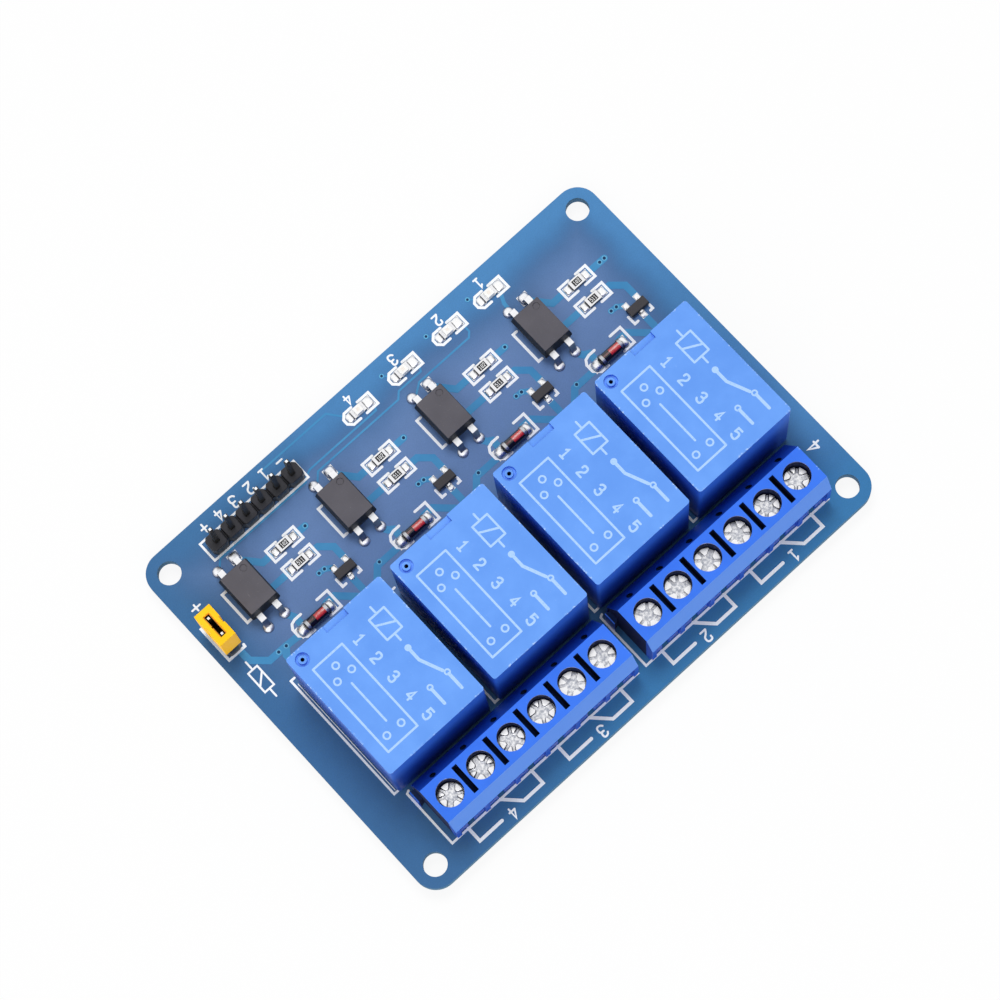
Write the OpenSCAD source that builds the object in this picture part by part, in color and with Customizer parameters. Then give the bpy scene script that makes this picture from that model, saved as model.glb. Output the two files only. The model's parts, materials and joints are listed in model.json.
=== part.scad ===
// Four-channel relay module board, in millimetres.
// X runs along the row of relays, Y from the terminal edge to the header edge, Z up.
// The origin is the centre of the mounting-hole pattern, on the board's underside.

/* [Board] */
// Length of the board, along the relay row
board_l = 76; // [75:0.5:90]
// Width of the board, from the terminal edge to the header edge
board_w = 56; // [56:0.5:70]
// Thickness of the board
board_t = 1.6; // [0.8:0.1:2.4]
// Radius of the board's corners
corner_r = 3; // [1:0.5:3]
// Diameter of the mounting holes
mount_d = 3.1; // [2.6:0.1:3.5]
// Distance from each mounting hole's centre to the two nearest edges
mount_inset = 3; // [2.6:0.1:3.2]

/* [Leads and solder] */
// Length of every lead below the board's underside
tail_len = 1.5; // [1:0.1:2.5]
// Clearance between a lead and the wall of its drilled hole
lead_gap = 0.12; // [0.05:0.01:0.2]
// Height of a solder joint below the board
solder_h = 0.9; // [0.4:0.1:0.9]
// Width of solder around a lead where it meets the board
solder_skirt = 0.5; // [0.3:0.05:0.6]
// Width of solder around a lead at the joint's lower end
solder_neck = 0.12; // [0.05:0.01:0.2]
// Height that surface parts stand off the board on their solder
chip_lift = 0.05; // [0.02:0.01:0.1]

/* [Terminal blocks] */
// Distance between the screws of neighbouring ways
way_pitch = 5; // [5:0.04:5.08]
// Plastic outside the last way at each end of a block, beyond half a pitch
end_wall = 0.1; // [0.05:0.05:0.3]
// Gap between the two blocks
block_gap = 2.4; // [1.2:0.1:3]
// Shift of the block row along the board, from its middle
block_row_x = 0.6; // [0:0.1:1]
// Height of a block above the board
block_h = 10; // [9.8:0.1:12]
// Depth of a block's foot
foot_d = 7.85; // [7.4:0.05:9]
// Depth of a block's flat top
top_d = 5.2; // [4.6:0.1:5.6]
// Setback of the flat top behind the foot's front face
top_setback = 0.53; // [0.3:0.01:0.7]
// Distance that the hood stands out over the wire entries
hood_out = 0.55; // [0.3:0.05:0.8]
// Height of the straight back wall, below the slope
back_wall_h = 4.5; // [3:0.1:5]
// Distance from the foot's front face to the screw line
screw_line = 3.1; // [2.95:0.05:3.25]
// Width of a wire entry
entry_w = 3.9; // [3.7:0.05:4.1]
// Height of the lip below a wire entry
lip_h = 2.2; // [1.6:0.1:2.4]
// Clearance between a screw head and its well
well_gap = 0.18; // [0.1:0.01:0.25]
// Width of the slot between two ways
slot_w = 0.76; // [0.5:0.02:0.8]
// Length of the slot between two ways
slot_l = 4.2; // [3:0.1:4.6]
// Depth of the slot between two ways
slot_depth = 3.2; // [1:0.1:3.3]
// Diameter of the dimples on the back slope
dimple_d = 0.87; // [0.5:0.01:1.2]
// Depth of the dimples, from the middle of their mouth straight down
dimple_depth = 1.6; // [1.2:0.1:2]
// Distance of that middle below the flat top
dimple_drop = 1.7; // [1.4:0.1:2.5]
// Width of the rib in front of each wall between two entries
rib_w = 0.7; // [0.4:0.05:0.9]
// Height at which those ribs begin
rib_foot = 0.6; // [0.2:0.1:1.2]
// Distance that the dovetail key stands out of a block's end
key_out = 0.75; // [0.4:0.05:0.9]
// Width of the dovetail key at its root
key_w = 1.3; // [1:0.1:1.5]
// Widening of the dovetail key on each side, at its outer face
key_flare = 0.25; // [0.1:0.05:0.35]
// Height of the dovetail key
key_h = 4.4; // [3:0.1:4.5]
// Distance of the dovetail key's middle from the foot's back face
key_from_back = 1.35; // [1.2:0.05:2.4]
// Clearance round the key in the dovetail groove
key_gap = 0.1; // [0.05:0.01:0.15]

/* [Screws, guards and frames] */
// Diameter of a screw's head
head_d = 3.2; // [3:0.05:3.3]
// Height of a screw's head
head_h = 1.4; // [1.2:0.05:1.5]
// Diameter of a screw's shank
shank_d = 2.5; // [2.2:0.05:2.6]
// Radial clearance between a shank and its tapped hole
thread_gap = 0.02; // [0.01:0.01:0.05]
// Diameter of the pilot that carries the wire guard
pilot_d = 1.4; // [1.2:0.1:1.6]
// Width of the slot across a screw's recess
recess_slot = 0.75; // [0.5:0.05:0.9]
// Width of the recess's other arms
recess_arm = 0.4; // [0.3:0.05:0.6]
// Angle of those arms from the slot
recess_angle = 68; // [60:1:72]
// Diameter of the round middle of a screw's recess
recess_d = 1.6; // [1.2:0.1:1.8]
// Depth of a screw's recess
recess_depth = 0.6; // [0.3:0.05:0.8]
// Thickness of the strip that a contact frame is bent from
frame_t = 0.6; // [0.5:0.05:0.7]
// Clear height inside a frame for the wire
wire_space = 3; // [2.8:0.05:3.05]
// Thickness of a frame's tapped top
frame_top_t = 0.75; // [0.6:0.05:0.9]
// Clearance between a frame and the side walls of its entry
frame_side_gap = 0.2; // [0.1:0.05:0.3]
// Depth of a contact frame, front to back
frame_d = 4.1; // [3.8:0.05:4.2]
// Distance that a frame's middle lies in front of its screw
frame_ahead = 0.15; // [0:0.05:0.2]
// Width of a frame's solder pin
frame_pin_w = 0.8; // [0.6:0.05:0.9]
// Thickness of a frame's solder pin
frame_pin_t = 0.6; // [0.4:0.05:0.7]
// Clearance round that pin in the slot of its block
pin_slot_gap = 0.1; // [0.05:0.01:0.15]
// Thickness of a wire guard
guard_t = 0.45; // [0.35:0.05:0.5]
// Width of a wire guard
guard_w = 3; // [2.4:0.1:3.2]
// Clearance at rest between the sliding parts of a way
slide_gap = 0.05; // [0.03:0.01:0.08]

/* [Relays] */
// Width of a relay
relay_w = 15.3; // [15:0.1:15.6]
// Length of a relay
relay_l = 19; // [18.6:0.1:19.4]
// Height of a relay above the board
relay_h = 15.4; // [14.8:0.1:16.5]
// Distance between the centres of neighbouring relays
relay_pitch = 16.87; // [16.4:0.01:17.2]
// Shift of the relay row along the board, from its middle
relay_row_x = 0.67; // [0:0.01:1]
// Distance of the relay row's middle in front of the board's
relay_row_ahead = 6.02; // [5.8:0.02:6.2]
// Gap between the terminal blocks and the relays
relay_gap = 0.88; // [0.4:0.02:1.6]
// Radius of a relay's upright edges
relay_edge_r = 0.4; // [0.2:0.1:0.8]
// Height of a relay's seating feet
relay_foot_h = 0.3; // [0.2:0.05:0.5]
// Size of a relay's square seating feet
relay_foot_w = 1.6; // [1:0.1:2]
// Height of a relay's base, above its feet
relay_base_h = 0.6; // [0.4:0.1:1]
// Setback of the base inside the case's walls
relay_base_in = 0.25; // [0.1:0.05:0.4]
// Diameter of the vent recess
vent_d = 1.8; // [1.4:0.1:2.2]
// Diameter of the vent's raised nub
vent_nub_d = 1.1; // [0.8:0.05:1.2]
// Diameter of the hole in the vent's nub
vent_hole_d = 0.5; // [0.2:0.05:0.6]
// Depth of the vent recess
vent_depth = 0.5; // [0.2:0.05:0.6]
// Depth of the nub's face below the relay's top
vent_nub_sink = 0.07; // [0.02:0.01:0.15]
// Distance of the vent's centre from the relay's side
vent_inset = 1.6; // [1.2:0.05:2]
// Distance of the vent's centre from the relay's rear face
vent_from_rear = 1.4; // [1.2:0.05:2]
// Length of the pocket in the top's rear edge
pocket_l = 3.5; // [2.5:0.1:4.5]
// Reach of the pocket in from the rear face
pocket_w = 1; // [0.6:0.1:1.4]
// Depth of the pocket at its shallow end
pocket_depth = 0.3; // [0.1:0.05:0.4]
// Further drop of the pocket towards its deep end
pocket_drop = 0.3; // [0.1:0.05:0.5]
// Distance of the pocket's middle from the relay's middle
pocket_x = 0.05; // [-1:0.05:1]
// Sideways distance of the outer pins from the relay's middle
relay_pin_x = 6; // [5.8:0.05:6.2]
// Distance from the common pin to the coil pins
coil_pin_step = 2; // [1.8:0.05:2.4]
// Distance from the common pin to the two switched pins
switched_pin_step = 14.2; // [13.8:0.05:14.6]
// Width of a relay's contact pins
relay_pin_w = 0.9; // [0.6:0.05:1]
// Thickness of a relay's contact pins
relay_pin_t = 0.5; // [0.3:0.05:0.6]
// Diameter of a relay's coil pins
coil_pin_d = 0.6; // [0.4:0.05:0.8]

/* [Pin header and jumper] */
// Distance between neighbouring header pins
pin_pitch = 2.54; // [2:0.02:2.54]
// Width of a square header pin
pin_w = 0.64; // [0.5:0.02:0.64]
// Length of the pointed end of a header pin
pin_point = 0.5; // [0.2:0.05:0.6]
// Height of a header's plastic strip
strip_h = 2.54; // [2:0.02:3]
// Width of a header's plastic strip
strip_w = 2.3; // [2.2:0.05:2.6]
// Chamfer at the corners of each cell of the strip
strip_chamfer = 0.45; // [0.2:0.05:0.6]
// Width of the groove between two cells of the strip
strip_groove_w = 0.4; // [0.2:0.05:0.6]
// Depth of that groove
strip_groove_depth = 0.5; // [0.2:0.05:0.8]
// Height of the signal pins above their strip
signal_pin_h = 6; // [5:0.1:8]
// Gap between the optocouplers' rear leads and the signal header's strip
header_gap = 1.62; // [0.6:0.01:1.8]
// Place of the signal header's middle along the board
header_x = -21.58; // [-23:0.02:-20]
// Height of the jumper pins above their strip
jumper_pin_h = 5.5; // [5:0.1:5.6]
// Share of the free width left of the optocouplers that lies outside the jumper
jumper_share = 0.32; // [0.2:0.01:0.8]
// Distance of the jumper's middle in front of the optocouplers' middle
jumper_ahead = 1.88; // [-1:0.02:3]
// Width of the jumper cap
cap_w = 2.5; // [2.4:0.05:2.8]
// Length of the jumper cap
cap_l = 5; // [4.9:0.05:5.4]
// Height of the jumper cap
cap_h = 6; // [5.9:0.1:7]
// Thickness of the jumper cap's side walls
cap_wall = 0.42; // [0.3:0.02:0.5]
// Thickness of the jumper cap's top
cap_top_t = 0.4; // [0.25:0.05:0.4]
// Gap between the cap and the strip below it
cap_lift = 0.1; // [0.05:0.05:0.3]
// Width of the window in the cap's top
window_w = 0.95; // [0.7:0.05:1.2]
// Length of the window in the cap's top
window_l = 3.4; // [3.2:0.1:3.9]
// Depth of the two grip notches in the cap's long sides
notch_depth = 0.2; // [0.1:0.02:0.25]
// Length of the grip notches
notch_l = 0.9; // [0.5:0.1:1.2]
// Height at which the grip notches begin, above the cap's lower end
notch_foot = 2.1; // [1:0.1:3]
// Thickness of the clip inside the cap
clip_t = 0.2; // [0.15:0.01:0.22]
// Clearance between the clip and the pins it bridges
clip_gap = 0.04; // [0.02:0.01:0.06]

/* [Optocouplers] */
// Width of an optocoupler's body
opto_w = 4.58; // [4.4:0.02:4.8]
// Length of an optocoupler's body
opto_l = 6.5; // [6.2:0.05:6.8]
// Height of an optocoupler's body
opto_body_h = 3.5; // [3:0.1:3.8]
// Height of the body above the board
opto_lift = 0.6; // [0.4:0.1:0.9]
// Height of the lead shoulders above the board
opto_stand = 0.3; // [0.1:0.05:0.35]
// Narrowing of the body on each side, at its top and bottom
opto_draft = 0.25; // [0.1:0.05:0.4]
// Height of the straight band round the body, half above and half below its middle
opto_band_h = 0.3; // [0.2:0.02:0.4]
// Distance between an optocoupler's two rows of leads
opto_row = 9.35; // [8.2:0.05:9.6]
// Distance between the leads of a row
opto_pitch = 2.54; // [2.4:0.02:2.6]
// Thickness of the lead strip
opto_lead_t = 0.25; // [0.2:0.01:0.28]
// Width of a lead's shoulder
opto_shoulder_w = 0.85; // [0.75:0.05:1.3]
// Distance from the body to the bend of a lead
opto_knee = 0.75; // [0.5:0.05:1]
// Width of a lead where it enters the board
opto_lead_w = 0.5; // [0.4:0.05:0.6]
// Distance of the optocouplers behind the relays, middle to rear face
opto_behind_relay = 12.5; // [12:0.1:13]
// Distance of the round mark in the top from the body's middle, sideways
opto_mark_x = 1.15; // [0.8:0.05:1.4]
// Distance of that mark from the body's middle, towards the rear
opto_mark_y = 2.17; // [1.5:0.01:2.4]
// Diameter of the round mark in the top of the body
opto_mark_d = 0.9; // [0.6:0.1:1.2]
// Depth of that mark
opto_mark_depth = 0.12; // [0.05:0.01:0.2]

/* [Surface parts] */
// Length of a chip resistor or light
chip_l = 2; // [1.8:0.05:2.2]
// Width of a chip resistor or light
chip_w = 1.25; // [1.1:0.05:1.4]
// Height of a chip resistor
resistor_h = 0.55; // [0.4:0.05:0.7]
// Length of the metal end of a chip
chip_end_l = 0.4; // [0.3:0.05:0.5]
// Distance of the nearer resistor row behind the relays
resistor_behind_relay = 11.27; // [11:0.01:12]
// Distance between the two resistor rows
resistor_row_step = 3.1; // [2.2:0.1:3.4]
// Height of a light's base plate
led_base_h = 0.4; // [0.3:0.05:0.5]
// Height of a light's lens
led_lens_h = 0.45; // [0.3:0.05:0.6]
// Setback of a light's lens from the ends of its base plate
led_lens_in = 0.45; // [0.42:0.01:0.6]
// Narrowing of a light's lens on each side, at its top
led_lens_draft = 0.1; // [0.05:0.01:0.2]
// Distance of the row of lights behind the signal pins
led_behind_header = 0.86; // [0:0.02:2.4]
// Length of a transistor's body
transistor_l = 2.9; // [2.7:0.05:3.1]
// Width of a transistor's body
transistor_w = 1.35; // [1.2:0.05:1.5]
// Height of a transistor's body
transistor_h = 1; // [0.8:0.05:1.2]
// Narrowing of the body on each side, at its top and bottom
transistor_draft = 0.11; // [0.05:0.01:0.2]
// Distance that a transistor's leads reach out of its body
transistor_reach = 0.55; // [0.4:0.05:0.7]
// Distance from the body to the outer face of a lead's bend
transistor_knee = 0.22; // [0.18:0.01:0.3]
// Width of a transistor's leads
transistor_lead_w = 0.42; // [0.3:0.02:0.5]
// Thickness of a transistor's leads
transistor_lead_t = 0.12; // [0.08:0.01:0.15]
// Distance of a transistor's paired leads from its middle
transistor_lead_x = 0.95; // [0.85:0.05:1.05]
// Distance of the transistors behind the relays
transistor_behind_relay = 6.6; // [6.2:0.1:7]
// Length of a diode between its outer faces
diode_l = 3.5; // [3.2:0.1:3.8]
// Diameter of a diode's glass
diode_d = 1.45; // [1.3:0.05:1.6]
// Diameter of a diode's metal ends
diode_end_d = 1.6; // [1.5:0.05:1.8]
// Length of a diode's metal ends
diode_end_l = 0.42; // [0.3:0.02:0.6]
// Distance of the diodes behind the relays
diode_behind_relay = 4.4; // [4:0.1:4.6]

/* [Hidden] */
block_count = 2;
block_ways = 6;
way_count = block_count * block_ways;
channel_count = 4;
signal_pins = 6;
jumper_pins_n = 2;
round_fn = 48;
// Depth that shapes of one solid run into each other
lap = 0.1;
// The least such depth, and the least cut past a face
eps = 0.01;

// Sideways places of each channel's small parts, from the middle of its relay,
// for channels 1 to 4, and of the four lights along the board.
opto_shift = [-5.4, -5.1, -5.05, -4.4];
resistor_shift = [2.3, 2.8, 2.25, 2.75];
transistor_shift = [5.65, 6.1, 6.2, 6.2];
diode_shift = [-0.9, -0.7, -0.7, -0.45];
led_x = [19.05, 11.9, 4.25, -3.45];
// Angle between one screw's recess and the next, as they were left by the driver
screw_turn_step = 43;

// Terminal blocks
block_l = block_ways * way_pitch + 2 * end_wall;
relay_y = -relay_row_ahead;
foot_back_y = relay_y - relay_l / 2 - relay_gap;
foot_y = foot_back_y - foot_d;
screw_y = foot_y + screw_line;
frame_top_z = lip_h + frame_t + wire_space + frame_top_t;
hood_h = frame_top_z + slide_gap;
frame_back = screw_line - frame_ahead + frame_d / 2;
frame_w = entry_w - 2 * frame_side_gap;
tap_r = shank_d / 2 + thread_gap;
guard_z = lip_h + frame_t + slide_gap;
tail_z = -board_t - tail_len;

// Relay row
relay_rear_y = relay_y + relay_l / 2;
common_pin_y = relay_y + switched_pin_step / 2;

// Optocouplers, header and jumper
opto_y = relay_rear_y + opto_behind_relay;
header_y = opto_y + (opto_row + opto_lead_t) / 2 + header_gap + strip_w / 2;
jumper_room = opto_x(channel_count) - opto_w / 2 + board_l / 2 - strip_w;
jumper_x = -board_l / 2 + jumper_share * jumper_room + strip_w / 2;
jumper_y = opto_y - jumper_ahead;
cap_z = strip_h + cap_lift;

// Small parts
resistor_y = relay_rear_y + resistor_behind_relay;
led_y = header_y + led_behind_header;
transistor_y = relay_rear_y + transistor_behind_relay;
diode_y = relay_rear_y + diode_behind_relay;

// Left end of a block, counted from the left
function block_x(b) = block_row_x - block_l - block_gap / 2 + b * (block_l + block_gap);
// Screw centre of a way, numbered from 1 at the left
function way_x(i) =
    block_x(floor((i - 1) / block_ways)) + end_wall + ((i - 1) % block_ways + 0.5) * way_pitch;
// Middle of a channel's relay; channel 1 is the one at the right
function channel_x(k) = relay_row_x + ((channel_count + 1) / 2 - k) * relay_pitch;
// Middle of a channel's optocoupler
function opto_x(k) = channel_x(k) + opto_shift[k - 1];

// Places of the leads that pass through the board, as [x, y]
frame_spots = [for (i = [1:way_count]) [way_x(i), screw_y]];
common_spots = [for (k = [1:channel_count]) [channel_x(k), common_pin_y]];
switched_spots = [for (k = [1:channel_count]) for (s = [-1, 1])
    [channel_x(k) + s * relay_pin_x, common_pin_y - switched_pin_step]];
coil_spots = [for (k = [1:channel_count]) for (s = [-1, 1])
    [channel_x(k) + s * relay_pin_x, common_pin_y - coil_pin_step]];
signal_spots = [for (i = [0:signal_pins - 1])
    [header_x + (i - (signal_pins - 1) / 2) * pin_pitch, header_y]];
jumper_spots = [for (i = [0:jumper_pins_n - 1])
    [jumper_x, jumper_y + (i - (jumper_pins_n - 1) / 2) * pin_pitch]];
opto_spots = [for (k = [1:channel_count]) for (sx = [-1, 1]) for (sy = [-1, 1])
    [opto_x(k) + sx * opto_pitch / 2, opto_y + sy * opto_row / 2]];

// Radius of the drilled hole that passes a lead of the given section
function drill_r(w, t) = norm([w, t]) / 2 + lead_gap;

// Moves its children to every spot of a list
module at_spots(spots, z = 0) {
    for (p = spots) translate([p[0], p[1], z]) children();
}

// Rectangle with true round corners
module round_rect(l, w, r) {
    square([l - 2 * r, w], center = true);
    square([l, w - 2 * r], center = true);
    for (sx = [-1, 1]) for (sy = [-1, 1])
        translate([sx * (l / 2 - r), sy * (w / 2 - r)]) circle(r, $fn = round_fn);
}

// Box centred on X and Y, standing on the given height
module bar(l, w, z0, z1) {
    translate([-l / 2, -w / 2, z0]) cube([l, w, z1 - z0]);
}

// Extrudes a [y, z] outline along X, centred on X
module along_x(l) {
    translate([-l / 2, 0, 0]) rotate([90, 0, 90]) linear_extrude(l) children();
}

// ---- Board ----

module circuit_board() color("steelblue") {
    difference() {
        linear_extrude(board_t) round_rect(board_l, board_w, corner_r);
        for (sx = [-1, 1]) for (sy = [-1, 1])
            translate([sx * (board_l / 2 - mount_inset), sy * (board_w / 2 - mount_inset), -1])
                cylinder(h = board_t + 2, d = mount_d, $fn = round_fn);
        drill(frame_spots, drill_r(frame_pin_w, frame_pin_t));
        drill(common_spots, drill_r(relay_pin_w, relay_pin_t));
        drill(switched_spots, drill_r(relay_pin_w, relay_pin_t));
        drill(coil_spots, coil_pin_d / 2 + lead_gap);
        drill(signal_spots, drill_r(pin_w, pin_w));
        drill(jumper_spots, drill_r(pin_w, pin_w));
        drill(opto_spots, drill_r(opto_lead_w, opto_lead_t));
    }
}

module drill(spots, r) {
    at_spots(spots, -1) cylinder(h = board_t + 2, r = r, $fn = round_fn);
}

// ---- Terminal blocks ----

// Block 0 is the left one, block 1 the right one
module terminal_block(b) color("royalblue") {
    translate([block_x(b), foot_y, board_t]) difference() {
        union() {
            rotate([90, 0, 90]) linear_extrude(block_l) block_profile();
            for (i = [0:block_ways]) translate([rib_x(i), 0, 0]) entry_rib();
            linear_extrude(key_h) key_outline(0);
        }
        for (i = [0:block_ways - 1]) translate([end_wall + (i + 0.5) * way_pitch, 0, 0])
            way_cuts();
        for (i = [1:block_ways - 1])
            translate([end_wall + i * way_pitch - slot_w / 2,
                       top_setback + (top_d - slot_l) / 2, block_h - slot_depth])
                cube([slot_w, slot_l, slot_depth + 1]);
        translate([block_l, 0, -1]) linear_extrude(key_h + 1 + key_gap) key_outline(key_gap);
    }
}

// Section of a block, with the front at the left
module block_profile() {
    polygon([[0, 0], [foot_d, 0], [foot_d, back_wall_h], [top_setback + top_d, block_h],
             [top_setback, block_h], [-hood_out, hood_h], [0, hood_h]]);
}

// Middle of a front rib; the outermost ribs lie flush with the block's ends
function rib_x(i) =
    min(max(end_wall + i * way_pitch, rib_w / 2), block_l - rib_w / 2);

module entry_rib() {
    along_x(rib_w) polygon([[lap, rib_foot], [0, rib_foot], [-hood_out, rib_foot + 2 * hood_out],
                            [-hood_out, hood_h + eps], [lap, hood_h + eps]]);
}

// Dovetail, narrow at the block's end face; grown by a clearance for the groove
module key_outline(gap) {
    y = foot_d - key_from_back;
    root = key_w / 2 + gap;
    outer = root + key_flare;
    polygon([[lap, y - root], [0, y - root], [-key_out - gap, y - outer],
             [-key_out - gap, y + outer], [0, y + root], [lap, y + root]]);
}

// Everything that is cut out of one way, centred on its screw
module way_cuts() {
    // Wire entry and pocket for the contact frame
    translate([-entry_w / 2, -1, lip_h])
        cube([entry_w, frame_back + pin_slot_gap + 1, hood_h - lip_h]);
    // Slot in the lip that lets the frame's pin slide in
    slot = frame_pin_w + 2 * pin_slot_gap;
    translate([-slot / 2, -1, -1])
        cube([slot, 1 + screw_line + frame_pin_t / 2 + pin_slot_gap, lip_h + 1 + eps]);
    // Screw well
    translate([0, screw_line, hood_h - eps])
        cylinder(h = block_h, d = head_d + 2 * well_gap, $fn = round_fn);
    // Dimple in the back slope
    slope_run = foot_d - top_setback - top_d;
    y = top_setback + top_d + dimple_drop * slope_run / (block_h - back_wall_h);
    translate([0, y, block_h - dimple_drop - dimple_depth])
        cylinder(h = block_h, d = dimple_d, $fn = round_fn);
}

// ---- Contact frames, wire guards and screws ----

module terminal_frames(b) color("silver") {
    for (i = [1:block_ways]) translate([way_x(b * block_ways + i), foot_y, board_t])
        contact_frame();
}

// Strip bent to a C that opens towards the wire, with a tapped top and a solder pin
module contact_frame() {
    front = frame_back - frame_d;
    difference() {
        along_x(frame_w) polygon([
            [front, lip_h], [frame_back, lip_h], [frame_back, frame_top_z],
            [front, frame_top_z], [front, frame_top_z - frame_top_t],
            [frame_back - frame_t, frame_top_z - frame_top_t],
            [frame_back - frame_t, lip_h + frame_t], [front, lip_h + frame_t]]);
        translate([0, screw_line, lip_h + frame_t + eps])
            cylinder(h = block_h, r = tap_r, $fn = round_fn);
    }
    translate([0, screw_line, 0]) bar(frame_pin_w, frame_pin_t, tail_z, lip_h + eps);
}

module wire_guard(i) color("lightgray") {
    back = frame_back - frame_t - 2 * slide_gap;
    front = frame_back - frame_d + 2 * slide_gap;
    translate([way_x(i), foot_y, board_t]) difference() {
        translate([-guard_w / 2, front, guard_z]) cube([guard_w, back - front, guard_t]);
        translate([0, screw_line, 0])
            cylinder(h = block_h, d = pilot_d + 2 * slide_gap, $fn = round_fn);
    }
}

// Head on the frame, shank through its tapped top, pilot in the wire guard
module terminal_screw(i) color("whitesmoke") {
    head_z = frame_top_z + slide_gap;
    shank_z = guard_z + guard_t + slide_gap;
    translate([way_x(i), screw_y, board_t]) difference() {
        union() {
            translate([0, 0, head_z]) cylinder(h = head_h, d = head_d, $fn = round_fn);
            translate([0, 0, shank_z])
                cylinder(h = head_z - shank_z + eps, d = shank_d, $fn = round_fn);
            translate([0, 0, guard_z + slide_gap])
                cylinder(h = shank_z - guard_z, d = pilot_d, $fn = round_fn);
        }
        translate([0, 0, head_z + head_h - recess_depth]) rotate(i * screw_turn_step) {
            cylinder(h = head_h, d = recess_d, $fn = round_fn);
            bar(head_d + 1, recess_slot, 0, head_h);
            for (a = [-1, 1]) rotate(a * recess_angle) bar(head_d + 1, recess_arm, 0, head_h);
        }
    }
}

// ---- Relays ----

module relay(k) color("cornflowerblue") {
    translate([channel_x(k), relay_y, board_t]) difference() {
        union() {
            case_z = relay_foot_h + relay_base_h;
            translate([0, 0, case_z]) linear_extrude(relay_h - case_z)
                round_rect(relay_w, relay_l, relay_edge_r);
            base_w = relay_w - 2 * relay_base_in;
            base_l = relay_l - 2 * relay_base_in;
            translate([0, 0, relay_foot_h])
                linear_extrude(relay_base_h + eps) square([base_w, base_l], center = true);
            for (sx = [-1, 1]) for (sy = [-1, 1])
                translate([sx * (base_w - relay_foot_w) / 2, sy * (base_l - relay_foot_w) / 2, 0])
                    bar(relay_foot_w, relay_foot_w, 0, relay_foot_h + eps);
        }
        relay_vent();
        rear_pocket();
    }
}

// Round recess in the top's left rear corner, with a raised nub that has a fine hole
module relay_vent() {
    translate([vent_inset - relay_w / 2, relay_l / 2 - vent_from_rear, relay_h - vent_depth]) {
        difference() {
            cylinder(h = 1, d = vent_d, $fn = round_fn);
            translate([0, 0, -eps])
                cylinder(h = vent_depth - vent_nub_sink + eps, d = vent_nub_d, $fn = round_fn);
        }
        translate([0, 0, -vent_depth]) cylinder(h = 1, d = vent_hole_d, $fn = round_fn);
    }
}

// Shallow pocket in the top's rear edge, which drops towards its right end
module rear_pocket() {
    translate([pocket_x, relay_l / 2 + 1, relay_h]) rotate([90, 0, 0])
        linear_extrude(pocket_w + 1)
            polygon([[-pocket_l / 2, 1], [-pocket_l / 2, -pocket_depth],
                     [pocket_l / 2, -pocket_depth - pocket_drop], [pocket_l / 2, 1]]);
}

module relay_pins() color("silver") {
    at_spots(concat(common_spots, switched_spots), board_t)
        bar(relay_pin_w, relay_pin_t, tail_z, relay_foot_h);
    at_spots(coil_spots, board_t + tail_z)
        cylinder(h = relay_foot_h - tail_z, d = coil_pin_d, $fn = round_fn);
}

// ---- Pin header and jumper ----

// Row of chamfered cells, one for each spot, with square pin holes and grooves between
module pin_strip(spots) {
    half = pin_pitch / 2;
    side = strip_w / 2;
    difference() {
        at_spots(spots, board_t) linear_extrude(strip_h)
            polygon([[-half, strip_chamfer - side], [strip_chamfer - half, -side],
                     [half - strip_chamfer, -side], [half, strip_chamfer - side],
                     [half, side - strip_chamfer], [half - strip_chamfer, side],
                     [strip_chamfer - half, side], [-half, side - strip_chamfer]]);
        at_spots(spots, board_t) bar(pin_w, pin_w, -1, strip_h + 1);
        for (i = [1:len(spots) - 1]) translate([(spots[i - 1][0] + spots[i][0]) / 2,
                                                spots[i][1], board_t + strip_h])
            rotate(90) along_x(strip_w + 1)
                polygon([[-strip_groove_w, strip_groove_depth], [0, -strip_groove_depth],
                         [strip_groove_w, strip_groove_depth]]);
    }
}

// Square pin with a pointed top, from the tail to the given height over the board
module square_pin(top) {
    intersection() {
        pin_side(top);
        rotate(90) pin_side(top);
    }
}

module pin_side(top) {
    r = pin_w / 2;
    along_x(pin_w) polygon([[-r, tail_z], [r, tail_z], [r, top - pin_point], [r / 2, top],
                            [-r / 2, top], [-r, top - pin_point]]);
}

module header_strip() color("dimgray") pin_strip(signal_spots);

module header_pins() color("silver")
    at_spots(signal_spots, board_t) square_pin(strip_h + signal_pin_h);

// Turned so that its cells follow the jumper's pins, which stand along Y
module jumper_strip() color("dimgray")
    translate([jumper_x, jumper_y, 0]) rotate(90)
        pin_strip([for (p = jumper_spots) [p[1] - jumper_y, 0]]);

module jumper_pins() color("silver")
    at_spots(jumper_spots, board_t) square_pin(strip_h + jumper_pin_h);

// Sleeve that is open below, with a window in its top
module jumper_cap() color("gold")
    translate([jumper_x, jumper_y, board_t + cap_z]) difference() {
        bar(cap_w, cap_l, 0, cap_h);
        bar(cap_w - 2 * cap_wall, cap_l - 2 * cap_wall, -1, cap_h - cap_top_t);
        bar(window_w, window_l, 0, cap_h + 1);
        for (s = [-1, 1]) translate([s * cap_w / 2, 0, 0])
            bar(2 * notch_depth, notch_l, notch_foot, cap_h + 1);
    }

// Folded strip that bridges the two pins, split along one side
module jumper_clip() color("silver") {
    inner_w = pin_w + 2 * clip_gap;
    inner_l = pin_pitch + inner_w;
    translate([jumper_x, jumper_y, board_t + cap_z]) difference() {
        bar(inner_w + 2 * clip_t, inner_l + 2 * clip_t, cap_lift, cap_h - cap_top_t);
        bar(inner_w, inner_l, -1, cap_h);
        translate([-inner_w, 0, 0]) bar(inner_w, clip_t, -1, cap_h);
    }
}

// ---- Optocouplers ----

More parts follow.
